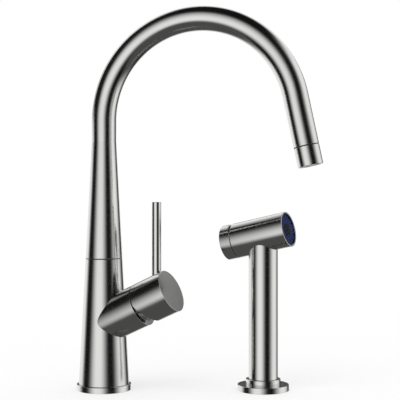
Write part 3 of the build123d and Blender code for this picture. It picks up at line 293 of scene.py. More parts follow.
class Skin:
    """A piece's closed surface, gathered patch by patch from grids of places."""

    def __init__(self, name: str) -> None:
        """Starts an empty surface for a piece of that name."""
        self.name = name
        self.count = 0
        self.places: list[np.ndarray] = []
        self.turned: list[np.ndarray] = []
        self.faces: list[list[int]] = []

    def add(self, grid: np.ndarray, turned: np.ndarray, closed: bool = True) -> None:
        """Adds a grid whose columns run round and whose rows follow an outline.

        Faces run along the columns first and then along the rows, which turns them outwards. A row that
        has shrunk to one place at either end of an open grid becomes a pole with a fan of triangles.

        Args:
            grid: Places, rows by columns by three.
            turned: The grain's places in the same shape.
            closed: Whether the last row runs back to the first.
        """
        rows, columns = grid.shape[:2]
        number = self.count + np.arange(rows * columns).reshape(rows, columns)
        upper = np.roll(number, -1, axis=0) if closed else number[1:]
        lower = number if closed else number[:-1]
        quads = np.stack([lower, np.roll(lower, -1, 1), np.roll(upper, -1, 1), upper], axis=-1)
        at_start = not closed and np.ptp(grid[0], axis=0).max() < SAME_PLACE
        at_end = not closed and np.ptp(grid[-1], axis=0).max() < SAME_PLACE
        body = quads[int(at_start) : len(quads) - int(at_end)]
        self.faces += body.reshape(-1, 4).tolist()
        if at_start:
            ring = number[1]
            fan = np.stack([np.full(columns, number[0, 0]), np.roll(ring, -1), ring], axis=-1)
            self.faces += fan.tolist()
        if at_end:
            ring = number[-2]
            fan = np.stack([ring, np.roll(ring, -1), np.full(columns, number[-1, 0])], axis=-1)
            self.faces += fan.tolist()
        self.places.append(grid.reshape(-1, 3))
        self.turned.append(turned.reshape(-1, 3))
        self.count += rows * columns

    def add_turned(
        self,
        axis: Axis,
        outline: np.ndarray,
        closed: bool = True,
        shift: np.ndarray | float = 0.0,
        columns: int = AROUND,
    ) -> None:
        """Adds an outline turned about an axis.

        Args:
            axis: The axis.
            outline: Radii and stations, one row for each point.
            closed: Whether the outline is a loop.
            shift: Stations to add, one number or rows by columns.
            columns: Number of columns round the axis.
        """
        angle = angles_around(columns)[None, :]
        radius, station = outline[:, :1], outline[:, 1:]
        grid = axis.places(radius, angle, station + shift)
        length = outline_length(outline)[:, None]
        level, upward = radius * np.cos(angle), radius * np.sin(angle)
        self.add(grid, np.stack(np.broadcast_arrays(level, upward, length), axis=-1), closed)

    def made(self, body: str, slot: "Slot", *nodes: str) -> bpy.types.Object:
        """Makes the mesh, dresses it and ties it to the frame.

        Args:
            body: CAD body that the piece rides on.
            slot: Material slot that it takes its finish from.
            nodes: CAD nodes that it stands for.

        Returns:
            The piece, at the origin, with its place in its mesh.
        """
        places, turned = np.vstack(self.places), np.vstack(self.turned)
        used = np.zeros(len(places), bool)
        used[np.concatenate([np.array(face) for face in self.faces])] = True
        renumbered = np.cumsum(used) - 1
        mesh = bpy.data.meshes.new(self.name)
        faces = [[int(renumbered[corner]) for corner in face] for face in self.faces]
        mesh.from_pydata(places[used].tolist(), [], faces)
        mesh.shade_smooth()
        grain = mesh.attributes.new(TURNED_PLACE, "FLOAT_VECTOR", "POINT")
        grain.data.foreach_set("vector", turned[used].astype(np.float32).ravel())
        piece = placed(self.name, mesh)
        mesh.materials.append(FINISHES[slot].material(Grain.TURNED))
        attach(piece, body)
        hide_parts(*nodes)
        return piece


# ---------------------------------------------------------------- finishes


class Slot(Enum):
    """Material slots of the record."""

    SATIN_STEEL = "satin_steel"
    POLISHED_STEEL = "polished_steel"
    MACHINED_STEEL = "machined_steel"
    SPRING_STEEL = "spring_steel"
    BRASS_CORE = "brass_core"
    CERAMIC = "ceramic"
    BLACK_RUBBER = "black_rubber"
    WHITE_PLASTIC = "white_plastic"
    GREY_PLASTIC = "grey_plastic"
    NAVY_PLASTIC = "navy_plastic"
    BLUE_RUBBER = "blue_rubber"
    BLACK_PLASTIC = "black_plastic"


class Grain(Enum):
    """Where a finish reads its places."""

    TURNED = "turned"
    OBJECT = "object"


class Graph:
    """A node tree that nodes are added to by name and linked by socket."""

    def __init__(self, tree: bpy.types.NodeTree) -> None:
        """Empties the tree and keeps it."""
        self.tree = tree
        tree.nodes.clear()

    def add(self, kind: str, **settings: object) -> bpy.types.Node:
        """Adds a node and sets its properties."""
        node = self.tree.nodes.new(kind)
        for name, value in settings.items():
            setattr(node, name, value)
        return node

    def link(self, source: bpy.types.NodeSocket, target: bpy.types.NodeSocket) -> None:
        """Links an output to an input."""
        self.tree.links.new(source, target)

    def ranged(self, source: bpy.types.NodeSocket, low: float, high: float) -> bpy.types.NodeSocket:
        """A value from 0 to 1 spread between two others."""
        node = self.add("ShaderNodeMapRange")
        self.link(source, node.inputs["Value"])
        node.inputs["To Min"].default_value = low
        node.inputs["To Max"].default_value = high
        return node.outputs["Result"]

    def emboss(self, shader: bpy.types.Node, height: bpy.types.NodeSocket, depth: float) -> None:
        """Turns a shader's normal as a relief does, whose height is a value from 0 to 1 times a depth."""
        bump = self.add("ShaderNodeBump")
        bump.inputs["Distance"].default_value = depth
        self.link(height, bump.inputs["Height"])
        self.link(bump.outputs["Normal"], shader.inputs["Normal"])

    def mixed(
        self, share: bpy.types.NodeSocket | float, first: bpy.types.Node, second: bpy.types.Node
    ) -> bpy.types.Node:
        """Adds a mix of two shaders, with a share of the second that is a number or another node's output."""
        mix = self.add("ShaderNodeMixShader")
        if isinstance(share, float):
            mix.inputs["Fac"].default_value = share
        else:
            self.link(share, mix.inputs["Fac"])
        self.link(first.outputs[0], mix.inputs[1])
        self.link(second.outputs[0], mix.inputs[2])
        return mix

    def show(self, shader: bpy.types.Node, output: str = "ShaderNodeOutputMaterial") -> None:
        """Links a shader to a new output node."""
        self.link(shader.outputs[0], self.add(output).inputs["Surface"])


def blank_material(name: str) -> tuple[bpy.types.Material, Graph]:
    """New material and its empty graph."""
    material = bpy.data.materials.new(name)
    material.use_nodes = True
    return material, Graph(material.node_tree)


def group_of(name: str, inputs: dict[str, str], outputs: dict[str, str]) -> tuple[bpy.types.NodeTree, Graph]:
    """New shader node group with named sockets.

    Args:
        name: Name of the group.
        inputs: Socket type by input name.
        outputs: Socket type by output name.

    Returns:
        The group and its graph.
    """
    tree = bpy.data.node_groups.new(name, "ShaderNodeTree")
    for in_out, sockets in (("INPUT", inputs), ("OUTPUT", outputs)):
        for socket, kind in sockets.items():
            tree.interface.new_socket(name=socket, in_out=in_out, socket_type=kind)
    return tree, Graph(tree)


@cache
def brushed_lines_group() -> bpy.types.NodeTree:
    """Group of fine lines that run round a turned piece and change slowly along their length.

    The lines are noise on the place times Stretch, which is large across the lines and small along them.

    Returns:
        The group, which puts out Lines from 0 to 1.
    """
    tree, graph = group_of(
        "brushed_lines",
        {"Place": "NodeSocketVector", "Stretch": "NodeSocketVector"},
        {"Lines": "NodeSocketFloat"},
    )
    start, end = graph.add("NodeGroupInput"), graph.add("NodeGroupOutput")
    stretched = graph.add("ShaderNodeVectorMath", operation="MULTIPLY")
    noise = graph.add("ShaderNodeTexNoise")
    noise.inputs["Scale"].default_value = 1.0
    noise.inputs["Detail"].default_value = 3.0
    noise.inputs["Roughness"].default_value = 0.6
    graph.link(start.outputs["Place"], stretched.inputs[0])
    graph.link(start.outputs["Stretch"], stretched.inputs[1])
    graph.link(stretched.outputs[0], noise.inputs["Vector"])
    graph.link(noise.outputs["Fac"], end.inputs["Lines"])
    return tree


@cache
def wiped_film_group() -> bpy.types.NodeTree:
    """Group of the faint film that water and wiping leave: soft clouds broken up by smaller ones.

    Returns:
        The group, which puts out Film from 0 to 1.
    """
    tree, graph = group_of(
        "wiped_film",
        {"Place": "NodeSocketVector", "Clouds per metre": "NodeSocketFloat"},
        {"Film": "NodeSocketFloat"},
    )
    start, end = graph.add("NodeGroupInput"), graph.add("NodeGroupOutput")
    noise = graph.add("ShaderNodeTexNoise")
    noise.inputs["Detail"].default_value = 4.0
    noise.inputs["Roughness"].default_value = 0.55
    noise.inputs["Distortion"].default_value = 0.4
    contrast = graph.add("ShaderNodeMapRange", interpolation_type="SMOOTHSTEP")
    contrast.inputs["From Min"].default_value = 0.35
    contrast.inputs["From Max"].default_value = 0.7
    graph.link(start.outputs["Place"], noise.inputs["Vector"])
    graph.link(start.outputs["Clouds per metre"], noise.inputs["Scale"])
    graph.link(noise.outputs["Fac"], contrast.inputs["Value"])
    graph.link(contrast.outputs["Result"], end.inputs["Film"])
    return tree


@cache
def speckle_group() -> bpy.types.NodeTree:
    """Group of an even fine grain, as moulded plastic, rubber and fired ceramic have.

    Returns:
        The group, which puts out Speckle from 0 to 1.
    """
    tree, graph = group_of(
        "speckle",
        {"Place": "NodeSocketVector", "Grains per metre": "NodeSocketFloat"},
        {"Speckle": "NodeSocketFloat"},
    )
    start, end = graph.add("NodeGroupInput"), graph.add("NodeGroupOutput")
    cells = graph.add("ShaderNodeTexVoronoi", feature="SMOOTH_F1")
    cells.inputs["Smoothness"].default_value = 0.6
    noise = graph.add("ShaderNodeTexNoise")
    noise.inputs["Detail"].default_value = 2.0
    mixed = graph.add("ShaderNodeMath", operation="MULTIPLY_ADD")
    mixed.inputs[1].default_value = 0.5
    graph.link(start.outputs["Place"], cells.inputs["Vector"])
    graph.link(start.outputs["Place"], noise.inputs["Vector"])
    graph.link(start.outputs["Grains per metre"], cells.inputs["Scale"])
    graph.link(start.outputs["Grains per metre"], noise.inputs["Scale"])
    graph.link(cells.outputs["Distance"], mixed.inputs[0])
    graph.link(noise.outputs["Fac"], mixed.inputs[2])
    graph.link(mixed.outputs[0], end.inputs["Speckle"])
    return tree


@dataclass(frozen=True)
class Finish:
    """What every finish has: a name, a colour, a second colour that it drifts to, and a roughness."""

    name: str
    colour: tuple[float, float, float]
    drift: tuple[float, float, float]
    roughness: float

    def material(self, grain: Grain) -> bpy.types.Material:
        """The finish as a material, made once for each way of reading places.

        Args:
            grain: Where the finish reads its places.

        Returns:
            The material.
        """
        name = f"{self.name}_{grain.value}"
        found = bpy.data.materials.get(name)
        if found:
            return found
        material, graph = blank_material(name)
        shader = graph.add("ShaderNodeBsdfPrincipled")
        graph.show(shader)
        shader.inputs["Roughness"].default_value = self.roughness
        self.dress(graph, shader, self.place(graph, grain))
        return material

    def place(self, graph: Graph, grain: Grain) -> bpy.types.NodeSocket:
        """The socket that places are read from."""
        if grain is Grain.TURNED:
            return graph.add("ShaderNodeAttribute", attribute_name=TURNED_PLACE).outputs["Vector"]
        return graph.add("ShaderNodeTexCoord").outputs["Object"]

    def coloured(self, graph: Graph, shader: bpy.types.Node, mask: bpy.types.NodeSocket) -> None:
        """Drifts the base colour to its second colour by a mask."""
        mix = graph.add("ShaderNodeMix", data_type="RGBA")
        mix.inputs["A"].default_value = (*self.colour, 1.0)
        mix.inputs["B"].default_value = (*self.drift, 1.0)
        graph.link(mask, mix.inputs["Factor"])
        graph.link(mix.outputs["Result"], shader.inputs["Base Color"])

    def roughened(self, graph: Graph, mask: bpy.types.NodeSocket, width: float) -> bpy.types.NodeSocket:
        """The roughness, which a mask spreads evenly about its middle by a width."""
        low = self.roughness - width / 2
        return graph.ranged(mask, low, low + width)

    def dress(self, graph: Graph, shader: bpy.types.Node, place: bpy.types.NodeSocket) -> None:
        """Links the finish's own effects to the shader."""
        raise NotImplementedError


@dataclass(frozen=True)
class Steel(Finish):
    """Metal with fine lines and a faint film: the lines change its roughness and its height a little."""

    stretch: tuple[float, float, float] = (30.0, 30.0, 3000.0)
    line_depth: float = 0.0006 * MM
    line_roughness: float = 0.05
    film_roughness: float = 0.03
    clouds_per_metre: float = 14.0

    def dress(self, graph: Graph, shader: bpy.types.Node, place: bpy.types.NodeSocket) -> None:
        """Links lines and film to the colour, the roughness and the normal."""
        shader.inputs["Metallic"].default_value = 1.0
        lines = graph.add("ShaderNodeGroup", node_tree=brushed_lines_group())
        lines.inputs["Stretch"].default_value = self.stretch
        film = graph.add("ShaderNodeGroup", node_tree=wiped_film_group())
        film.inputs["Clouds per metre"].default_value = self.clouds_per_metre
        graph.link(place, lines.inputs["Place"])
        graph.link(place, film.inputs["Place"])
        self.coloured(graph, shader, film.outputs["Film"])
        lined = self.roughened(graph, lines.outputs["Lines"], self.line_roughness)
        filmed = graph.ranged(film.outputs["Film"], 0.0, self.film_roughness)
        total = graph.add("ShaderNodeMath", operation="ADD")
        graph.link(lined, total.inputs[0])
        graph.link(filmed, total.inputs[1])
        graph.link(total.outputs[0], shader.inputs["Roughness"])
        graph.emboss(shader, lines.outputs["Lines"], self.line_depth)


@dataclass(frozen=True)
class Moulded(Finish):
    """Plastic, rubber or ceramic with an even fine grain."""

    grains_per_metre: float = 2500.0
    grain_depth: float = 0.01 * MM
    grain_roughness: float = 0.08
    specular: float = 0.5

    def dress(self, graph: Graph, shader: bpy.types.Node, place: bpy.types.NodeSocket) -> None:
        """Links the grain to the colour, the roughness and the normal."""
        shader.inputs["Specular IOR Level"].default_value = self.specular
        speckle = graph.add("ShaderNodeGroup", node_tree=speckle_group())
        speckle.inputs["Grains per metre"].default_value = self.grains_per_metre
        graph.link(place, speckle.inputs["Place"])
        self.coloured(graph, shader, speckle.outputs["Speckle"])
        rough = self.roughened(graph, speckle.outputs["Speckle"], self.grain_roughness)
        graph.link(rough, shader.inputs["Roughness"])
        graph.emboss(shader, speckle.outputs["Speckle"], self.grain_depth)


CROSS_CUT = (900.0, 900.0, 900.0)  # noise per metre on metal that isn't turned

FINISHES: dict[Slot, Finish] = {
    Slot.SATIN_STEEL: Steel("satin_steel", (0.735, 0.735, 0.722), (0.715, 0.715, 0.702), 0.15),
    Slot.POLISHED_STEEL: Steel(
        "polished_steel",
        (0.76, 0.76, 0.75),
        (0.74, 0.74, 0.73),
        0.11,
        line_roughness=0.03,
        film_roughness=0.02,
    ),
    Slot.MACHINED_STEEL: Steel(
        "machined_steel", (0.56, 0.56, 0.55), (0.48, 0.48, 0.47), 0.32, stretch=CROSS_CUT
    ),
    Slot.SPRING_STEEL: Steel(
        "spring_steel", (0.5, 0.5, 0.49), (0.42, 0.42, 0.42), 0.28, stretch=CROSS_CUT
    ),
    Slot.BRASS_CORE: Steel(
        "brass_core", (0.72, 0.52, 0.24), (0.62, 0.42, 0.19), 0.34, stretch=CROSS_CUT, film_roughness=0.08
    ),
    Slot.CERAMIC: Moulded("ceramic", (0.82, 0.81, 0.78), (0.76, 0.75, 0.72), 0.28, grain_depth=0.002 * MM),
    Slot.BLACK_RUBBER: Moulded(
        "black_rubber", (0.018, 0.018, 0.019), (0.03, 0.03, 0.031), 0.62, specular=0.35
    ),
    Slot.WHITE_PLASTIC: Moulded("white_plastic", (0.76, 0.76, 0.74), (0.7, 0.7, 0.68), 0.42),
    # dark grey, made darker so that the seams it fills show as dark lines: partly its own colour, partly
    # painted shade in those gaps
    Slot.GREY_PLASTIC: Moulded("grey_plastic", (0.06, 0.06, 0.062), (0.05, 0.05, 0.052), 0.46),
    Slot.NAVY_PLASTIC: Moulded(
        "navy_plastic", (0.006, 0.01, 0.04), (0.009, 0.014, 0.055), 0.42, specular=0.15
    ),
    Slot.BLUE_RUBBER: Moulded("blue_rubber", (0.025, 0.05, 0.2), (0.035, 0.065, 0.25), 0.5, specular=0.2),
    Slot.BLACK_PLASTIC: Moulded(
        "black_plastic", (0.005, 0.006, 0.012), (0.008, 0.009, 0.017), 0.4, specular=0.12
    ),
}


def dress_frame() -> None:
    """Gives every CAD node the finish of its own slot, by the name of the material that it came with."""
    for name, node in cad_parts.items():
        for holder in node.material_slots:
            slot = Slot(holder.material.name.split(".")[0])
            holder.material = FINISHES[slot].material(Grain.OBJECT)
        log.info("%s: finished by its slot", name)


# ---------------------------------------------------------------- pieces


@dataclass(frozen=True)
class SlantedRim:
    """How the rim of a turned cup falls back, past a height above its axis.

    The fall grows in a straight line from nothing at the start height to its full depth at the end height.
    """

    station: float
    start_height: float
    end_height: float
    depth: float

    def shift(self, outline: np.ndarray) -> np.ndarray:
        """Stations to add to the cup: only the points near the rim's own station move.

        Args:
            outline: Radii and stations of the cup, one row for each point.

        Returns:
            The stations to add, rows by columns.
        """
        height = outline[:, :1] * np.sin(angles_around(AROUND))
        share = (height - self.start_height) / (self.end_height - self.start_height)
        on_rim = np.abs(outline[:, 1:] - self.station) < EDGE
        return -self.depth * np.clip(share, 0.0, 1.0) * on_rim


@dataclass
class Taper:
    """The long cone that the mixer's body and the foot of its spout share."""

    foot_radius: float = 26.0 * MM
    foot_height: float = 6.0 * MM
    top_radius: float = 12.5 * MM
    top_height: float = 254.6 * MM

    @property
    def slope(self) -> float:
        """Radius lost for each metre of height."""
        return (self.foot_radius - self.top_radius) / (self.top_height - self.foot_height)

    def radius(self, height: float) -> float:
        """Radius at a height."""
        return self.foot_radius - (height - self.foot_height) * self.slope

    def met_by(self, axis: Axis, radius: float, sink: float) -> np.ndarray:
        """Stations where lines beside a slanted axis leave the cone.

        A line is p + s * a. Its distance from the cone's axis equals the cone's radius there where
        A s^2 + B s + C = 0, and the larger root is the outward one.

        Args:
            axis: The slanted axis, whose origin is on the cone's axis.
            radius: Distance of the lines from the slanted axis.
            sink: How far below the cone's surface the meeting is.

        Returns:
            The stations, one for each column round the slanted axis.
        """
        start = axis.places(radius, angles_around(AROUND), 0.0)
        base = self.radius(0.0) - sink - self.slope * start[..., 2]
        fall = self.slope * axis.along[2]
        a = axis.along[0] ** 2 + axis.along[1] ** 2 - fall**2
        b = 2 * (start[..., 0] * axis.along[0] + start[..., 1] * axis.along[1] + base * fall)
        c = start[..., 0] ** 2 + start[..., 1] ** 2 - base**2
        return quadratic_root(a, b, c, 1.0)


def add_pipe(
    skin: Skin, axis: Axis, outer: float, inner: float, root: tuple[np.ndarray, np.ndarray], end: float
) -> None:
    """Adds a pipe whose root follows another surface and whose end is square and rounded.

    Args:
        skin: The surface that it is added to.
        axis: The pipe's axis.
        outer: Outer radius.
        inner: Inner radius.
        root: Stations of the root round the outer and the inner wall.
        end: Station of the end.
    """
    corners = [Corner(outer, 0.0), Corner(outer, end, EDGE), Corner(inner, end, EDGE / 2), Corner(inner, 0.0)]
    outline = divided(softened(corners), end / PIPE_RUNS)
    share = 1.0 - np.clip(outline[:, 1:] / end, 0.0, 1.0)
    skin.add_turned(axis, outline, shift=share * between_walls(outline, outer, inner, *root))


@dataclass
class MixerBody:
    """The mixer's base flange and its tapered body with the slanted valve housing."""

    taper: Taper = field(default_factory=Taper)
    flange_radius: float = 28.0 * MM
    core_radius: float = 19.9 * MM
    neck_radius: float = 15.8 * MM
    post_radius: float = 13.8 * MM
    seam_height: float = 134.6 * MM
    seam_gap: float = 0.6 * MM
    swivel_post: float = 12.6 * MM
    swivel_bore: float = 14.0 * MM
    washer_inset: float = 0.7 * MM
    sleeve_length: float = 6.0 * MM
    core_step: float = 54.8 * MM
    post_shoulder: float = 104.8 * MM
    seal_outer: float = 26.8 * MM
    valve_azimuth: float = 22.5
    valve_tilt: float = 25.0
    valve_height: float = 68.3 * MM
    housing_radius: float = 22.0 * MM
    housing_wall: float = 2.5 * MM
    housing_end: float = 48.4 * MM
    nut_top: float = 44.0 * MM
    lever_pivot: float = 39.5 * MM
    trim_bore: float = 9.6 * MM
    trim_plate: float = 1.0 * MM
    dome_recess: float = 0.2 * MM
    dome_radius: float = 19.2 * MM
    dome_wall: float = 1.4 * MM
    dome_edge_angle: float = 50.0
    sink: float = 0.3 * MM

    @property
    def spout_foot(self) -> float:
        """Height of the spout's foot, over the swivel seam."""
        return self.seam_height + self.seam_gap

    @property
    def valve(self) -> Axis:
        """Axis of the mixing valve, which slants up out of the body."""
        return Axis.tilted((0.0, 0.0, self.valve_height), self.valve_azimuth, self.valve_tilt)

    def flange(self) -> bpy.types.Object:
        """The flange on the deck, with the groove for its seal underneath."""
        bore, height = self.core_radius + SLIP_GAP, self.taper.foot_height
        corners = [
            Corner(bore, 0.0),
            *seal_groove(self.seal_outer),
            Corner(self.flange_radius, 0.0),
            Corner(self.flange_radius, height, EDGE),
            Corner(bore, height),
        ]
        skin = Skin("mixer_flange")
        skin.add_turned(Axis.upright(), softened(corners))
        return skin.made("main_body", Slot.SATIN_STEEL, "base_flange")

    def shell(self) -> bpy.types.Object:
        """The tapered shell, bored out for the core, and the pipe of the valve housing on it.

        The shell isn't cut open inside the housing, where it can't be seen from outside.
        """
        foot, step, shoulder = self.taper.foot_height, self.core_step + SLIP_GAP, self.post_shoulder
        core, neck, post = (r + SLIP_GAP for r in (self.core_radius, self.neck_radius, self.post_radius))
        corners = [
            Corner(core, foot),
            Corner(self.taper.radius(foot), foot, EDGE),
            Corner(self.taper.radius(self.seam_height), self.seam_height, EDGE),
            Corner(post, self.seam_height),
            Corner(post, shoulder),
            Corner(neck, shoulder),
            Corner(neck, step),
            Corner(core, step),
        ]
        skin = Skin("mixer_body")
        skin.add_turned(Axis.upright(), divided(softened(corners), LONGEST_RUN))
        outer, inner = self.housing_radius, self.housing_radius - self.housing_wall
        root = tuple(self.taper.met_by(self.valve, radius, self.sink) for radius in (outer, inner))
        add_pipe(skin, self.valve, outer, inner, root, self.housing_end)
        return skin.made("main_body", Slot.SATIN_STEEL, "body_shell")

    def glide_ring(self) -> bpy.types.Object:
        """Glide ring in the swivel seam: a washer whose dark line is partly painted shade, and a sleeve above
        it.
        """
        bore, sleeve = self.swivel_post + RUNNING_GAP, self.swivel_bore - RUNNING_GAP
        seam, foot = self.seam_height, self.spout_foot
        washer = self.taper.radius(seam) - self.washer_inset
        corners = [
            Corner(bore, seam),
            Corner(washer, seam),
            Corner(washer, foot),
            Corner(sleeve, foot),
            Corner(sleeve, foot + self.sleeve_length),
            Corner(bore, foot + self.sleeve_length),
        ]
        skin = Skin("swivel_glide_ring")
        skin.add_turned(Axis.upright(), softened(corners))
        return skin.made("main_body", Slot.GREY_PLASTIC, "lower_glide_ring")

    def off_axis(self, station: float, radius: float) -> float:
        """Degrees off the valve's axis at which a ball about the lever's pivot reaches a station."""
        return math.degrees(math.acos((station - self.lever_pivot) / radius))

    def dome(self) -> bpy.types.Object:
        """The ring in the housing's mouth, with the dome that the lever's skirt slides under."""
        foot, plate = self.housing_end - self.dome_recess, self.nut_top + self.trim_plate
        outer, inner = self.housing_radius - self.housing_wall - SLIP_GAP, self.dome_radius - self.dome_wall
        edge = self.dome_edge_angle
        corners = [
            Corner(self.trim_bore, plate),
            Corner(self.trim_bore, self.nut_top),
            Corner(outer, self.nut_top),
            Corner(outer, foot),
            *ball_arc(self.lever_pivot, self.dome_radius, self.off_axis(foot, self.dome_radius), edge),
            *ball_arc(self.lever_pivot, inner, edge, self.off_axis(plate, inner)),
        ]
        skin = Skin("valve_dome")
        skin.add_turned(self.valve, softened(corners))
        return skin.made("main_body", Slot.SATIN_STEEL, "valve_trim_ring")


@dataclass
class Lever:
    """The lever: a cap with a slanted rear edge, and the upright rod that it carries."""

    body: MixerBody
    face: float = 84.9 * MM
    face_thickness: float = 3.0 * MM
    seam_gap: float = 1.0 * MM
    bottom_gap: float = 11.5 * MM
    wall: float = 2.5 * MM
    boss_radius: float = 8.0 * MM
    boss_start: float = 51.5 * MM
    stem_radius: float = 3.0 * MM
    rod_radius: float = 4.75 * MM
    rod_behind_face: float = 18.3 * MM
    rod_foot_rise: float = 3.1 * MM
    rod_top: float = 193.0 * MM
    rod_columns: int = 64
    skirt_gap: float = 0.3 * MM
    skirt_wall: float = 1.2 * MM
    skirt_edge_angle: float = 48.0

    def cap(self) -> bpy.types.Object:
        """The cap: a cup that opens towards the housing, with the boss that holds the valve's stem."""
        radius, inner = self.body.housing_radius, self.body.housing_radius - self.wall
        rim, floor = -(self.body.housing_end + self.seam_gap), -(self.face - self.face_thickness)
        corners = [
            Corner(0.0, -self.face),
            Corner(radius, -self.face, EDGE),
            Corner(radius, rim, EDGE / 2),
            Corner(inner, rim, EDGE / 2),
            Corner(inner, floor, EDGE),
            Corner(0.0, floor),
        ]
        outline = softened(corners, closed=False)
        slant = SlantedRim(rim, 0.0, -radius, self.bottom_gap - self.seam_gap)
        skin = Skin("lever_cap")
        skin.add_turned(self.body.valve.flipped(), outline, closed=False, shift=slant.shift(outline))
        bore = self.stem_radius + SLIP_GAP
        boss = [
            Corner(bore, self.boss_start),
            Corner(self.boss_radius, self.boss_start, EDGE / 2),
            Corner(self.boss_radius, -floor + SLIP_GAP),
            Corner(bore, -floor + SLIP_GAP),
        ]
        skin.add_turned(self.body.valve, softened(boss))
        return skin.made("handle", Slot.SATIN_STEEL, "handle_cap")

    def skirt(self) -> bpy.types.Object:
        """The ball-shaped skirt on the boss, which slides under the dome when the lever tilts."""
        bore, pivot, edge = self.boss_radius + SLIP_GAP, self.body.lever_pivot, self.skirt_edge_angle
        outer = self.body.dome_radius - self.body.dome_wall - self.skirt_gap
        inner = outer - self.skirt_wall
        outside = ball_arc(pivot, outer, edge, math.degrees(math.asin(bore / outer)))
        inside = ball_arc(pivot, inner, math.degrees(math.asin(bore / inner)), edge)
        skin = Skin("skirt_turned")
        skin.add_turned(self.body.valve, softened([*outside, *inside]))
        return skin.made("handle", Slot.SATIN_STEEL, "lever_skirt")

    def rod(self) -> bpy.types.Object:
        """The upright rod, rounded at its top."""
        foot = self.body.valve.moved(along=self.face - self.rod_behind_face).origin
        corners = [
            Corner(0.0, self.rod_foot_rise),
            Corner(self.rod_radius, self.rod_foot_rise),
            Corner(self.rod_radius, self.rod_top - foot[2], EDGE),
            Corner(0.0, self.rod_top - foot[2]),
        ]
        skin = Skin("lever_rod_polished")
        outline = divided(softened(corners, closed=False), LONGEST_RUN, closed=False)
        skin.add_turned(Axis.upright(*foot), outline, closed=False, columns=self.rod_columns)
        return skin.made("handle", Slot.POLISHED_STEEL, "lever_rod")


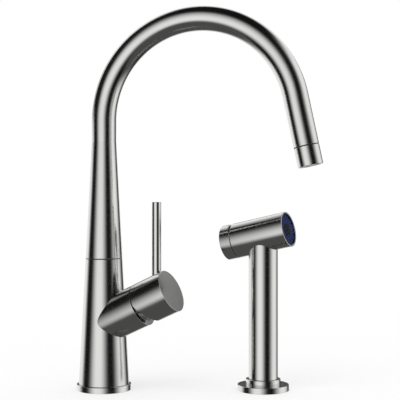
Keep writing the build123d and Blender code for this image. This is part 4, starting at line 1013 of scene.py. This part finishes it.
@dataclass
class Spout:
    """The swan neck, from its foot on the swivel post to the aerator at the end of its tail."""

    body: MixerBody
    azimuth: float = 15.5
    swivel_bore_top: float = 195.2 * MM
    bore_taper: float = 8.0 * MM
    bore: float = 10.5 * MM
    arch_height: float = 275.4 * MM
    arch_radius: float = 101.5 * MM
    arch_bend: float = 167.8
    tail_length: float = 70.3 * MM
    aerator_length: float = 20.0 * MM
    aerator_gap: float = 0.8 * MM
    # how far in from the tube's surface the ring of painted seam shade reaches
    seam_shade_inset: float = 0.3 * MM
    washer_height: float = 1.0 * MM
    aerator_wall: float = 1.0 * MM
    aerator_lip: float = 1.5 * MM
    spigot_length: float = 6.0 * MM
    longest_run: float = 2.7 * MM

    @property
    def radius(self) -> float:
        """Outer radius of the tube."""
        return self.body.taper.top_radius

    @property
    def seam(self) -> float:
        """Length of the centreline from the deck to the aerator's seam."""
        bend = self.arch_radius * math.radians(self.arch_bend)
        return self.arch_height + bend + self.tail_length - self.aerator_length

    def centreline(self, length: np.ndarray) -> tuple[np.ndarray, np.ndarray, np.ndarray, np.ndarray]:
        """The spout's centreline: straight up, then a circular arch, then straight along its end direction.

        Within the arch the turned angle is (length - start) / arch radius. The place is the arch's centre
        plus its radius times the outward direction, which turns with that angle from the mixer's side over
        the top.

        Args:
            length: Lengths along the centreline, counted from the deck.

        Returns:
            Places, sideways directions, outward directions and tangents, one row for each length.
        """
        turn = math.radians(self.azimuth)
        forward = np.array([math.cos(turn), -math.sin(turn), 0.0])
        sideways = np.array([math.sin(turn), math.cos(turn), 0.0])
        upward = np.array([0.0, 0.0, 1.0])
        bend = math.radians(self.arch_bend)
        angle = np.clip((length - self.arch_height) / self.arch_radius, 0.0, bend)[:, None]
        outward = -forward * np.cos(angle) + upward * np.sin(angle)
        tangent = forward * np.sin(angle) + upward * np.cos(angle)
        before = np.minimum(length - self.arch_height, 0.0)[:, None]
        after = np.maximum(length - self.arch_height - self.arch_radius * bend, 0.0)[:, None]
        centre = forward * self.arch_radius + upward * self.arch_height
        places = centre + outward * self.arch_radius + tangent * (before + after)
        return places, np.broadcast_to(sideways, places.shape), outward, tangent

    def neck(self) -> bpy.types.Object:
        """The tube: its outline is carried along the centreline, with its bore inside."""
        taper, foot, swivel_bore = self.body.taper, self.body.spout_foot, self.body.swivel_bore
        seam, spigot = self.seam, self.radius - self.aerator_wall - SLIP_GAP
        corners = [
            Corner(swivel_bore, foot),
            Corner(taper.radius(foot), foot, EDGE),
            Corner(self.radius, taper.top_height),
            Corner(self.radius, seam, EDGE / 2),
            Corner(spigot, seam),
            Corner(spigot, seam + self.spigot_length),
            Corner(self.bore, seam + self.spigot_length),
            Corner(self.bore, self.swivel_bore_top + self.bore_taper),
            Corner(swivel_bore, self.swivel_bore_top),
        ]
        outline = divided(softened(corners), self.longest_run)
        angle = angles_around(AROUND)[None, :, None]
        places, sideways, outward, _ = self.centreline(outline[:, 1])
        radial = np.cos(angle) * sideways[:, None] + np.sin(angle) * outward[:, None]
        grid = places[:, None] + outline[:, :1, None] * radial
        flat = np.concatenate([np.cos(angle), np.sin(angle)], axis=-1) * outline[:, :1, None]
        length = np.broadcast_to(outline_length(outline)[:, None, None], (*grid.shape[:2], 1))
        skin = Skin("swan_neck")
        skin.add(grid, np.concatenate([flat, length], axis=-1))
        return skin.made("spout", Slot.SATIN_STEEL, "spout_tube")

    @property
    def tail(self) -> Axis:
        """Axis of the spout's end, from the aerator's seam."""
        places, sideways, outward, tangent = self.centreline(np.array([self.seam]))
        return Axis(places[0], sideways[0], outward[0], tangent[0])

    def washer(self) -> bpy.types.Object:
        """The black washer at the spigot's end, and a black ring that paints shade into the aerator's seam.
        """
        ring_bore, lip = self.radius - self.aerator_wall, self.radius - self.seam_shade_inset
        spigot, foot, top = ring_bore - SLIP_GAP, self.spigot_length, self.spigot_length + self.washer_height
        washer = [Corner(self.bore, foot), Corner(spigot, foot), Corner(spigot, top), Corner(self.bore, top)]
        gap = self.aerator_gap
        # a black ring in the seam's gap: painted shade, where the gap itself would look dark
        seam_shade_ring = [Corner(ring_bore, 0.0), Corner(lip, 0.0), Corner(lip, gap), Corner(ring_bore, gap)]
        skin = Skin("aerator_washer_and_seam_shade")
        skin.add_turned(self.tail, softened(washer))
        skin.add_turned(self.tail, softened(seam_shade_ring))
        return skin.made("spout", Slot.BLACK_RUBBER, "aerator_washer")

    def aerator(self) -> bpy.types.Object:
        """The ring that holds the aerator, with its inward lip."""
        bore = self.radius - self.aerator_wall
        start, end = self.aerator_gap, self.aerator_length
        corners = [
            Corner(bore, start),
            Corner(self.radius, start, EDGE),
            Corner(self.radius, end, EDGE),
            Corner(bore - self.aerator_wall, end, EDGE / 2),
            Corner(bore - self.aerator_wall, end - self.aerator_lip),
            Corner(bore, end - self.aerator_lip),
        ]
        skin = Skin("aerator_collar")
        skin.add_turned(self.tail, softened(corners))
        return skin.made("spout", Slot.SATIN_STEEL, "aerator_ring")


@dataclass
class Holder:
    """The deck flange of the hand spray, with the collar that its column stands in."""

    spacing: float = 163.9 * MM
    radius: float = 26.4 * MM
    flange_height: float = 6.0 * MM
    collar_radius: float = 17.85 * MM
    height: float = 11.7 * MM
    ledge: float = 1.2 * MM
    throat: float = 13.2 * MM
    bore: float = 16.2 * MM
    seal_outer: float = 25.2 * MM

    def flange(self) -> bpy.types.Object:
        """The flange and its collar in one turned piece."""
        corners = [
            Corner(self.throat, 0.0),
            *seal_groove(self.seal_outer),
            Corner(self.radius, 0.0),
            Corner(self.radius, self.flange_height, EDGE),
            Corner(self.collar_radius, self.flange_height, EDGE / 2),
            Corner(self.collar_radius, self.height, EDGE),
            Corner(self.bore, self.height, EDGE / 2),
            Corner(self.bore, self.ledge),
            Corner(self.throat, self.ledge),
        ]
        skin = Skin("spray_flange")
        skin.add_turned(Axis.upright(self.spacing), softened(corners))
        return skin.made("main_body", Slot.SATIN_STEEL, "holder_flange")


@dataclass
class HandSpray:
    """The hand spray: a column with a slanted head, a rocking cap behind and the nozzles in front."""

    holder: Holder
    azimuth: float = 25.5
    tilt: float = 12.5
    head_height: float = 159.2 * MM
    column_foot: float = 2.3 * MM
    column_radius: float = 15.0 * MM
    column_wall: float = 1.8 * MM
    column_run: float = 8.0 * MM
    column_top_power: int = 8
    head_radius: float = 18.0 * MM
    head_wall: float = 1.5 * MM
    head_front: float = 29.0 * MM
    head_rear: float = -30.0 * MM
    trigger_rear: float = -42.2 * MM
    trigger_gap: float = 0.6 * MM
    trigger_top_gap: float = 4.4 * MM
    notch_rise: float = 7.5 * MM
    trigger_wall: float = 2.0 * MM
    face_recess: float = 2.0 * MM
    nozzle_radius: float = 0.85 * MM
    nozzle_tip_radius: float = 0.65 * MM
    nozzle_hole: float = 0.3 * MM
    nozzle_rise: float = 1.0 * MM
    nozzle_depth: float = 2.0 * MM
    nozzle_columns: int = 12
    nozzle_rings: tuple[tuple[float, int], ...] = ((9.4 * MM, 14), (13.3 * MM, 22))

    @property
    def head(self) -> Axis:
        """Axis of the head, from its crossing with the column's axis."""
        return Axis.tilted((self.holder.spacing, 0.0, self.head_height), self.azimuth, self.tilt)

    def column_top(self, radius: float) -> np.ndarray:
        """Heights where lines up the column meet the middle of the head's wall from below.

        For a line at plan place (x, y) from the crossing, the squared distance from the head's axis is
        x^2 + y^2 + z^2 - (x ax + y ay + z az)^2, and the smaller root for z is the lower one.

        Args:
            radius: Radius of the lines round the column's axis.

        Returns:
            The heights, one for each angle round the column.
        """
        angle, along = angles_around(AROUND), self.head.along
        x, y = radius * np.cos(angle), radius * np.sin(angle)
        level = x * along[0] + y * along[1]
        reach = self.head_radius - self.head_wall / 2
        a = 1.0 - along[2] ** 2
        b = -2.0 * level * along[2]
        c = x**2 + y**2 - level**2 - reach**2
        return self.head_height + quadratic_root(a, b, c, -1.0)

    def shell(self) -> bpy.types.Object:
        """The column, a pipe that ends in the head's wall, and the head, an open pipe.

        The column's rows move up to where it meets the head by their share of its height to a high power,
        so that only the rows near its top follow the head's wall.
        """
        radius, inner = self.column_radius, self.column_radius - self.column_wall
        nominal = self.head_height - self.head_radius - self.column_foot
        corners = [
            Corner(inner, 0.0),
            Corner(radius, 0.0, EDGE),
            Corner(radius, nominal),
            Corner(inner, nominal),
        ]
        outline = divided(softened(corners), self.column_run)
        share = np.clip(outline[:, 1:] / nominal, 0.0, 1.0) ** self.column_top_power
        rises = (self.column_top(wall) - self.column_foot - nominal for wall in (radius, inner))
        shift = share * between_walls(outline, radius, inner, *rises)
        skin = Skin("spray_body")
        skin.add_turned(Axis.upright(self.holder.spacing, 0.0, self.column_foot), outline, shift=shift)
        bore = self.head_radius - self.head_wall
        head = [
            Corner(bore, self.head_rear, EDGE / 2),
            Corner(self.head_radius, self.head_rear, EDGE),
            Corner(self.head_radius, self.head_front, EDGE),
            Corner(bore, self.head_front, EDGE),
        ]
        skin.add_turned(self.head, divided(softened(head), LONGEST_RUN))
        return skin.made("spray", Slot.SATIN_STEEL, "spray_shell")

    def trigger(self) -> bpy.types.Object:
        """The rocking cap: a cup whose front edge falls back towards the top."""
        rim, bore = self.head_rear - self.trigger_gap, self.head_radius - self.head_wall
        corners = [
            Corner(0.0, self.trigger_rear),
            Corner(self.head_radius, self.trigger_rear, EDGE),
            Corner(self.head_radius, rim, EDGE / 2),
            Corner(bore, rim, EDGE / 2),
            Corner(bore, self.trigger_rear + self.trigger_wall, EDGE),
            Corner(0.0, self.trigger_rear + self.trigger_wall),
        ]
        outline = softened(corners, closed=False)
        slant = SlantedRim(rim, self.notch_rise, self.head_radius, self.trigger_top_gap - self.trigger_gap)
        skin = Skin("trigger_button")
        skin.add_turned(self.head, outline, closed=False, shift=slant.shift(outline))
        return skin.made("trigger", Slot.SATIN_STEEL, "trigger_cap")

    def nozzles(self) -> bpy.types.Object:
        """The soft nozzle tips: small cones with a hole, set in rings round the middle of the face."""
        front = self.head_front - self.face_recess
        corners = [
            Corner(self.nozzle_hole, front - self.nozzle_depth),
            Corner(self.nozzle_radius, front - self.nozzle_depth),
            Corner(self.nozzle_radius, front),
            Corner(self.nozzle_tip_radius, front + self.nozzle_rise, self.nozzle_hole / 2),
            Corner(self.nozzle_hole, front + self.nozzle_rise),
        ]
        outline = softened(corners)
        skin = Skin("nozzle_tips")
        for ring_radius, count in self.nozzle_rings:
            for angle in angles_around(count):
                axis = self.head.moved(ring_radius * math.cos(angle), ring_radius * math.sin(angle))
                skin.add_turned(axis, outline, columns=self.nozzle_columns)
        return skin.made("spray", Slot.BLUE_RUBBER, "spray_nozzles")


# ---------------------------------------------------------------- studio


NO_END = (90.0, 91.0)  # elevations past the top, for a flag that reaches it


@dataclass(frozen=True)
class Flag:
    """A part of a ball of cloth with another value, with soft edges, as a flag or a softbox has.

    Azimuths count from the camera's side of the object, positive to its right.
    """

    name: str
    azimuth: float
    half_width: float
    feathers: tuple[float, float]
    elevations: tuple[float, float]
    value: float
    end: tuple[float, float] = NO_END

    def cover(self, azimuth: np.ndarray, elevation: np.ndarray) -> np.ndarray:
        """How much of the cloth the flag covers, from 0 to 1.

        The cover is full within the half width, falls smoothly over the feather on either side, rises
        smoothly from nothing at the first elevation to full at the second, and falls again over its end.

        Args:
            azimuth: Azimuths in degrees.
            elevation: Elevations in degrees.

        Returns:
            The cover at each place.
        """
        off = (azimuth - self.azimuth + 180.0) % 360.0 - 180.0
        feather = np.where(off < 0.0, *self.feathers)
        across = 1.0 - smooth_step((np.abs(off) - self.half_width) / feather)
        start, full = self.elevations
        rise = smooth_step((elevation - start) / (full - start))
        fall = smooth_step((elevation - self.end[0]) / (self.end[1] - self.end[0]))
        return across * rise * (1.0 - fall)


def smooth_step(share: np.ndarray) -> np.ndarray:
    """The curve 3 x^2 - 2 x^3 between 0 and 1."""
    held = np.clip(share, 0.0, 1.0)
    return held * held * (3.0 - 2.0 * held)


@dataclass
class Studio:
    """The floor, the light, the tent that the metal reflects, and the camera."""

    centre: tuple[float, float, float] = (0.0, 0.0, 0.19)
    floor_half_width: float = 6.0
    floor_colour: float = 0.985
    floor_glow: float = 0.6
    room_strength: float = 0.8
    sun_strength: float = 0.82
    sun_spread: float = 40.0
    sun_azimuth: float = -35.0
    sun_elevation: float = 55.0
    tent_radius: float = 20.0
    tent_rows: int = 61
    tent_columns: int = 121
    gradients: tuple[Flag, ...] = (
        Flag("rear_low", 180.0, 26.0, (16.0, 16.0), (2.0, 6.0), 0.03, end=(14.0, 22.0)),
        Flag("front_above", -10.0, 50.0, (40.0, 40.0), (-5.0, 68.0), 0.04),
        Flag("overhead", 0.0, 180.0, (1.0, 1.0), (37.0, 63.0), 0.008),
        Flag("table", 0.0, 180.0, (1.0, 1.0), (-14.0, -41.0), 0.085),
    )
    ring_radius: float = 1.1
    ring_elevations: tuple[float, float] = (-36.0, 80.0)
    ring_rows: int = 30
    ring_columns: int = 241
    ring_shade: float = 0.006
    flags: tuple[Flag, ...] = (
        Flag("left", -81.5, 9.5, (30.0, 44.0), (-36.0, -30.0), 1.0),
        Flag("left_high", -104.0, 14.0, (24.0, 28.0), (4.0, 16.0), 1.0),
        Flag("front_right", 37.0, 8.0, (42.0, 45.0), (-36.0, -30.0), 1.0),
        Flag("rear_right", 142.0, 1.0, (40.0, 26.0), (34.0, 4.0), 1.0),
    )
    camera_place: tuple[float, float, float] = (0.12595, -1.02906, 0.195)
    camera_turn: float = 1.5
    lens: float = 90.0
    sensor: float = 36.0

    def staged(self, name: str, grid: np.ndarray, material: bpy.types.Material) -> bpy.types.Object:
        """A stage object from a grid of places that isn't wrapped.

        Args:
            name: Its name.
            grid: Places, rows by columns by three.
            material: Its material.

        Returns:
            The object.
        """
        rows, columns = grid.shape[:2]
        number = np.arange(rows * columns).reshape(rows, columns)
        faces = np.stack([number[:-1, :-1], number[:-1, 1:], number[1:, 1:], number[1:, :-1]], axis=-1)
        mesh = bpy.data.meshes.new(name)
        mesh.from_pydata(grid.reshape(-1, 3).tolist(), [], faces.reshape(-1, 4).tolist())
        mesh.materials.append(material)
        thing = placed(name, mesh)
        return thing

    def floor(self) -> None:
        """A wide floor at the height of the deck, lit from below too, as a light table is.

        The metal reflects the tent in its place.
        """
        material, graph = blank_material("pale_floor")
        lit, glow = graph.add("ShaderNodeBsdfDiffuse"), graph.add("ShaderNodeEmission")
        lit.inputs["Color"].default_value = (self.floor_colour,) * 3 + (1.0,)
        graph.show(graph.mixed(self.floor_glow, lit, glow))
        side = np.array([-self.floor_half_width, self.floor_half_width])
        x, y = np.meshgrid(side, side)
        floor = self.staged("floor", np.stack([x, y, np.zeros_like(x)], axis=-1), material)
        floor.visible_glossy = False

    def cloth(
        self,
        name: str,
        radius: float,
        start: float,
        flags: tuple[Flag, ...],
        elevations: np.ndarray,
        columns: int,
    ) -> tuple[Graph, bpy.types.NodeSocket]:
        """A part of a ball round the object that only reflections see, with a value painted on it.

        The value starts even, and each flag in turn blends it towards its own by its cover.

        Args:
            name: Name of the object.
            radius: Radius of the ball.
            start: The value before the first flag.
            flags: The flags.
            elevations: Elevations of its rows in degrees.
            columns: Number of its columns.

        Returns:
            The graph of its material, and the socket in it that gives the value.
        """
        azimuth, elevation = np.meshgrid(np.linspace(-180.0, 180.0, columns), elevations)
        value = np.full_like(azimuth, start)
        for flag in flags:
            value += flag.cover(azimuth, elevation) * (flag.value - value)
        turn, rise = np.radians(azimuth), np.radians(elevation)
        ball = np.stack([np.cos(rise) * np.sin(turn), -np.cos(rise) * np.cos(turn), np.sin(rise)], axis=-1)
        material, graph = blank_material(name)
        thing = self.staged(name, np.array(self.centre) + radius * ball, material)
        thing.data.attributes.new("value", "FLOAT", "POINT").data.foreach_set("value", value.ravel())
        thing.visible_camera = thing.visible_diffuse = thing.visible_shadow = False
        thing.visible_transmission = thing.visible_volume_scatter = False
        return graph, graph.add("ShaderNodeAttribute", attribute_name="value").outputs["Fac"]

    def tent(self) -> None:
        """A far ball of white cloth with darker parts: low behind, above the front, overhead and below."""
        elevations = np.linspace(-90.0, 90.0, self.tent_rows)
        graph, value = self.cloth(
            "tent", self.tent_radius, 1.0, self.gradients, elevations, self.tent_columns
        )
        glow = graph.add("ShaderNodeEmission")
        graph.link(value, glow.inputs["Strength"])
        graph.show(glow)

    def ring(self) -> None:
        """Upright dark flags that stand round the object, see-through between their soft edges."""
        elevations = np.linspace(*self.ring_elevations, self.ring_rows)
        graph, value = self.cloth("ring", self.ring_radius, 0.0, self.flags, elevations, self.ring_columns)
        clear, glow = graph.add("ShaderNodeBsdfTransparent"), graph.add("ShaderNodeEmission")
        glow.inputs["Strength"].default_value = self.ring_shade
        graph.show(graph.mixed(value, clear, glow))

    def light(self) -> None:
        """An even room and one broad soft lamp, which together show a colour about as it is written."""
        world = bpy.data.worlds.new("room")
        bpy.context.scene.world = world
        world.use_nodes = True
        graph = Graph(world.node_tree)
        path = graph.add("ShaderNodeLightPath")
        seen = path.outputs["Is Camera Ray"]
        for name in ("Is Glossy Ray", "Is Transmission Ray"):
            either = graph.add("ShaderNodeMath", operation="MAXIMUM")
            graph.link(seen, either.inputs[0])
            graph.link(path.outputs[name], either.inputs[1])
            seen = either.outputs[0]
        strength = graph.ranged(seen, self.room_strength, 1.0)
        background = graph.add("ShaderNodeBackground")
        background.inputs["Color"].default_value = (1.0, 1.0, 1.0, 1.0)
        graph.link(strength, background.inputs["Strength"])
        graph.show(background, "ShaderNodeOutputWorld")
        lamp = bpy.data.lights.new("soft_key", "SUN")
        lamp.energy = self.sun_strength
        lamp.angle = math.radians(self.sun_spread)
        key = placed("soft_key", lamp)
        key.rotation_euler = (math.radians(90.0 - self.sun_elevation), 0.0, math.radians(self.sun_azimuth))
        key.visible_glossy = False

    def camera(self) -> None:
        """The level camera at the photograph's viewing angle."""
        data = bpy.data.cameras.new("camera")
        data.lens, data.sensor_width = self.lens, self.sensor
        camera = placed("camera", data)
        camera.location = self.camera_place
        camera.rotation_euler = (math.pi / 2, 0.0, math.radians(self.camera_turn))
        bpy.context.scene.camera = camera

    def build(self) -> None:
        """Sets the whole studio up."""
        self.floor()
        self.tent()
        self.ring()
        self.light()
        self.camera()
        bpy.context.scene.view_settings.view_transform = "Standard"


def main() -> None:
    """Builds the studio and every piece."""
    logging.basicConfig(level=logging.INFO, format="%(message)s")
    Studio().build()
    dress_frame()
    body, holder = MixerBody(), Holder()
    lever, spout, spray = Lever(body), Spout(body), HandSpray(holder)
    makers = (
        body.flange,
        body.shell,
        body.dome,
        body.glide_ring,
        lever.cap,
        lever.skirt,
        lever.rod,
        spout.neck,
        spout.aerator,
        spout.washer,
        holder.flange,
        spray.shell,
        spray.trigger,
        spray.nozzles,
    )
    for make in makers:
        piece = make()
        log.info("%s: built with %d faces", piece.name, len(piece.data.polygons))


if __name__ == "__main__":
    main()
